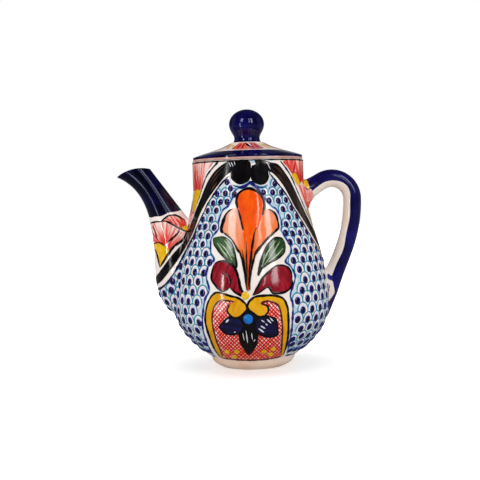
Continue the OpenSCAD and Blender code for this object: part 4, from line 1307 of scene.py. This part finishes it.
def floor():
    """A white floor with the pot's soft shadow, which gives bounced rays less light: to them it is dark and
    glows, a painted bounce light that is dimmer near the pot as painted shade.
    """
    r = np.geomspace(FLOOR_NEAR, FLOOR_FAR, FLOOR_RINGS)[::-1]
    points, faces = lathe(np.stack([r, np.zeros(FLOOR_RINGS)], 1), FLOOR_AROUND)
    faces.append(tuple(range((FLOOR_RINGS - 1) * FLOOR_AROUND, FLOOR_RINGS * FLOOR_AROUND)))
    mesh = bpy.data.meshes.new("floor")
    mesh.from_pydata(points.tolist(), [], faces)
    g = Glaze("studio_floor")
    x, y, _ = g.split(g.place())
    away = g.math("SQRT", g.plus(g.times(x, x), g.times(y, y)))
    ray = g.node("ShaderNodeLightPath").outputs
    pale = g.ramp(g.noise(g.place(), 3.0, 2.0), (0.3, FLOOR_PALE), (0.7, FLOOR_GREY))
    dim = g.most(g.times(ray["Is Glossy Ray"], 0.85), ray["Is Diffuse Ray"])
    seen = g.most(ray["Is Camera Ray"], ray["Is Transmission Ray"])
    glow = g.times(seen, g.span(away, 0.06, 0.26, 0.36, 1.0))
    # Painted light: to glossy and bounced rays the floor glows, less near the pot as painted shade
    for kind, near, far in (("Is Glossy Ray", 0.05, 0.08), ("Is Diffuse Ray", 0.52, 0.85)):
        glow = g.most(glow, g.times(ray[kind], g.span(away, 0.06, 0.34, near, far)))
    g.feed_all(g.shader, {"Base Color": g.mix(dim, pale, FLOOR_HIDDEN), "Roughness": 0.9,
                          "Specular IOR Level": 0.0, "Emission Strength": glow})
    g.shader.inputs["Emission Color"].default_value = WHITE_LIGHT
    g.owner.cycles.emission_sampling = "NONE"
    mesh.materials.append(g.owner)
    placed("floor", mesh)


def world():
    """A white backdrop for the camera, its reflection at grazing edges, and soft fill for the rest."""
    studio = bpy.data.worlds.new("studio")
    bpy.context.scene.world = studio
    studio.cycles.sampling_method = "NONE"
    g = Graph(studio)
    ray = g.node("ShaderNodeLightPath").outputs
    _, depth, up = g.split(g.node("ShaderNodeTexCoord").outputs["Generated"])
    behind = g.times(g.span(depth, 0.90, 0.99, 0.05, 0.35), ray["Is Glossy Ray"])
    fill = g.times(ray["Is Diffuse Ray"], g.span(up, 0.0, 1.0, 1.22, 0.85))
    seen = g.most(ray["Is Camera Ray"], ray["Is Transmission Ray"])
    light = g.node("ShaderNodeBackground")
    light.inputs["Color"].default_value = WHITE_LIGHT
    g.feed(light.inputs["Strength"], g.most(seen, g.plus(behind, fill)))
    out = g.node("ShaderNodeOutputWorld")
    g.feed(out.inputs[0], light.outputs[0])


def panel(name, turn, away, height, wide, tall, radiance, lights_paint=False, lying=False):
    """A soft light at an angle from the camera's side, for the highlights in the glaze or for the paint.

    It faces the pot, or it is lying on the floor, faces up and points away from the pot.
    """
    lamp = bpy.data.lights.new(name, "AREA")
    lamp.shape = "RECTANGLE"
    lamp.size, lamp.size_y = wide, tall
    lamp.energy = radiance * math.pi * wide * tall
    obj = placed(name, lamp)
    obj.visible_camera = False
    obj.visible_diffuse = lights_paint
    obj.visible_glossy = not lights_paint
    a = math.radians(turn)
    obj.location = (away * math.sin(a), -away * math.cos(a), height)
    facing = (Vector(POT_MIDDLE) - obj.location).to_track_quat("-Z", "Y").to_euler()
    obj.rotation_euler = (math.pi, 0, a) if lying else facing


POT_MIDDLE = (0, 0, 0.1)
floor()
world()
panel("strip_spout", turn=-43, away=1.3, height=0.2, wide=0.07, tall=0.39, radiance=17.0)
panel("strip_low", turn=-44, away=0.8, height=0.004, wide=0.05, tall=0.8, radiance=14.0, lying=True)
panel("strip_left", turn=-34, away=1.3, height=0.96, wide=0.34, tall=0.56, radiance=9.0)
panel("strip_middle", turn=17.5, away=1.3, height=0.76, wide=0.08, tall=0.96, radiance=9.0)
panel("strip_right", turn=35, away=1.3, height=0.76, wide=0.25, tall=0.96, radiance=8.0)
panel("side_left", turn=-100, away=1.4, height=0.6, wide=0.9, tall=1.2, radiance=0.15)
panel("side_right", turn=95, away=1.4, height=0.6, wide=0.9, tall=1.2, radiance=0.15)
panel("overhead", turn=0, away=0.35, height=1.5, wide=1.0, tall=1.0, radiance=0.5, lights_paint=True)

SENSOR_MM, FOCUS_PIXELS, PHOTO_PIXELS = 36.0, 935, 480
CAMERA_AT, CAMERA_TILT, CAMERA_ROLL = (-0.0083, -0.776, 0.1366), 2.4, -1.75
lens = bpy.data.cameras.new("camera")
lens.sensor_width = SENSOR_MM
lens.lens = SENSOR_MM * FOCUS_PIXELS / PHOTO_PIXELS
camera = placed("camera", lens)
camera.location = CAMERA_AT
camera.rotation_mode = "QUATERNION"
camera.rotation_quaternion = (Quaternion((1, 0, 0), math.radians(90 - CAMERA_TILT))
                              @ Quaternion((0, 0, 1), math.radians(CAMERA_ROLL)))
bpy.context.scene.camera = camera
bpy.context.scene.view_settings.view_transform = "Standard"
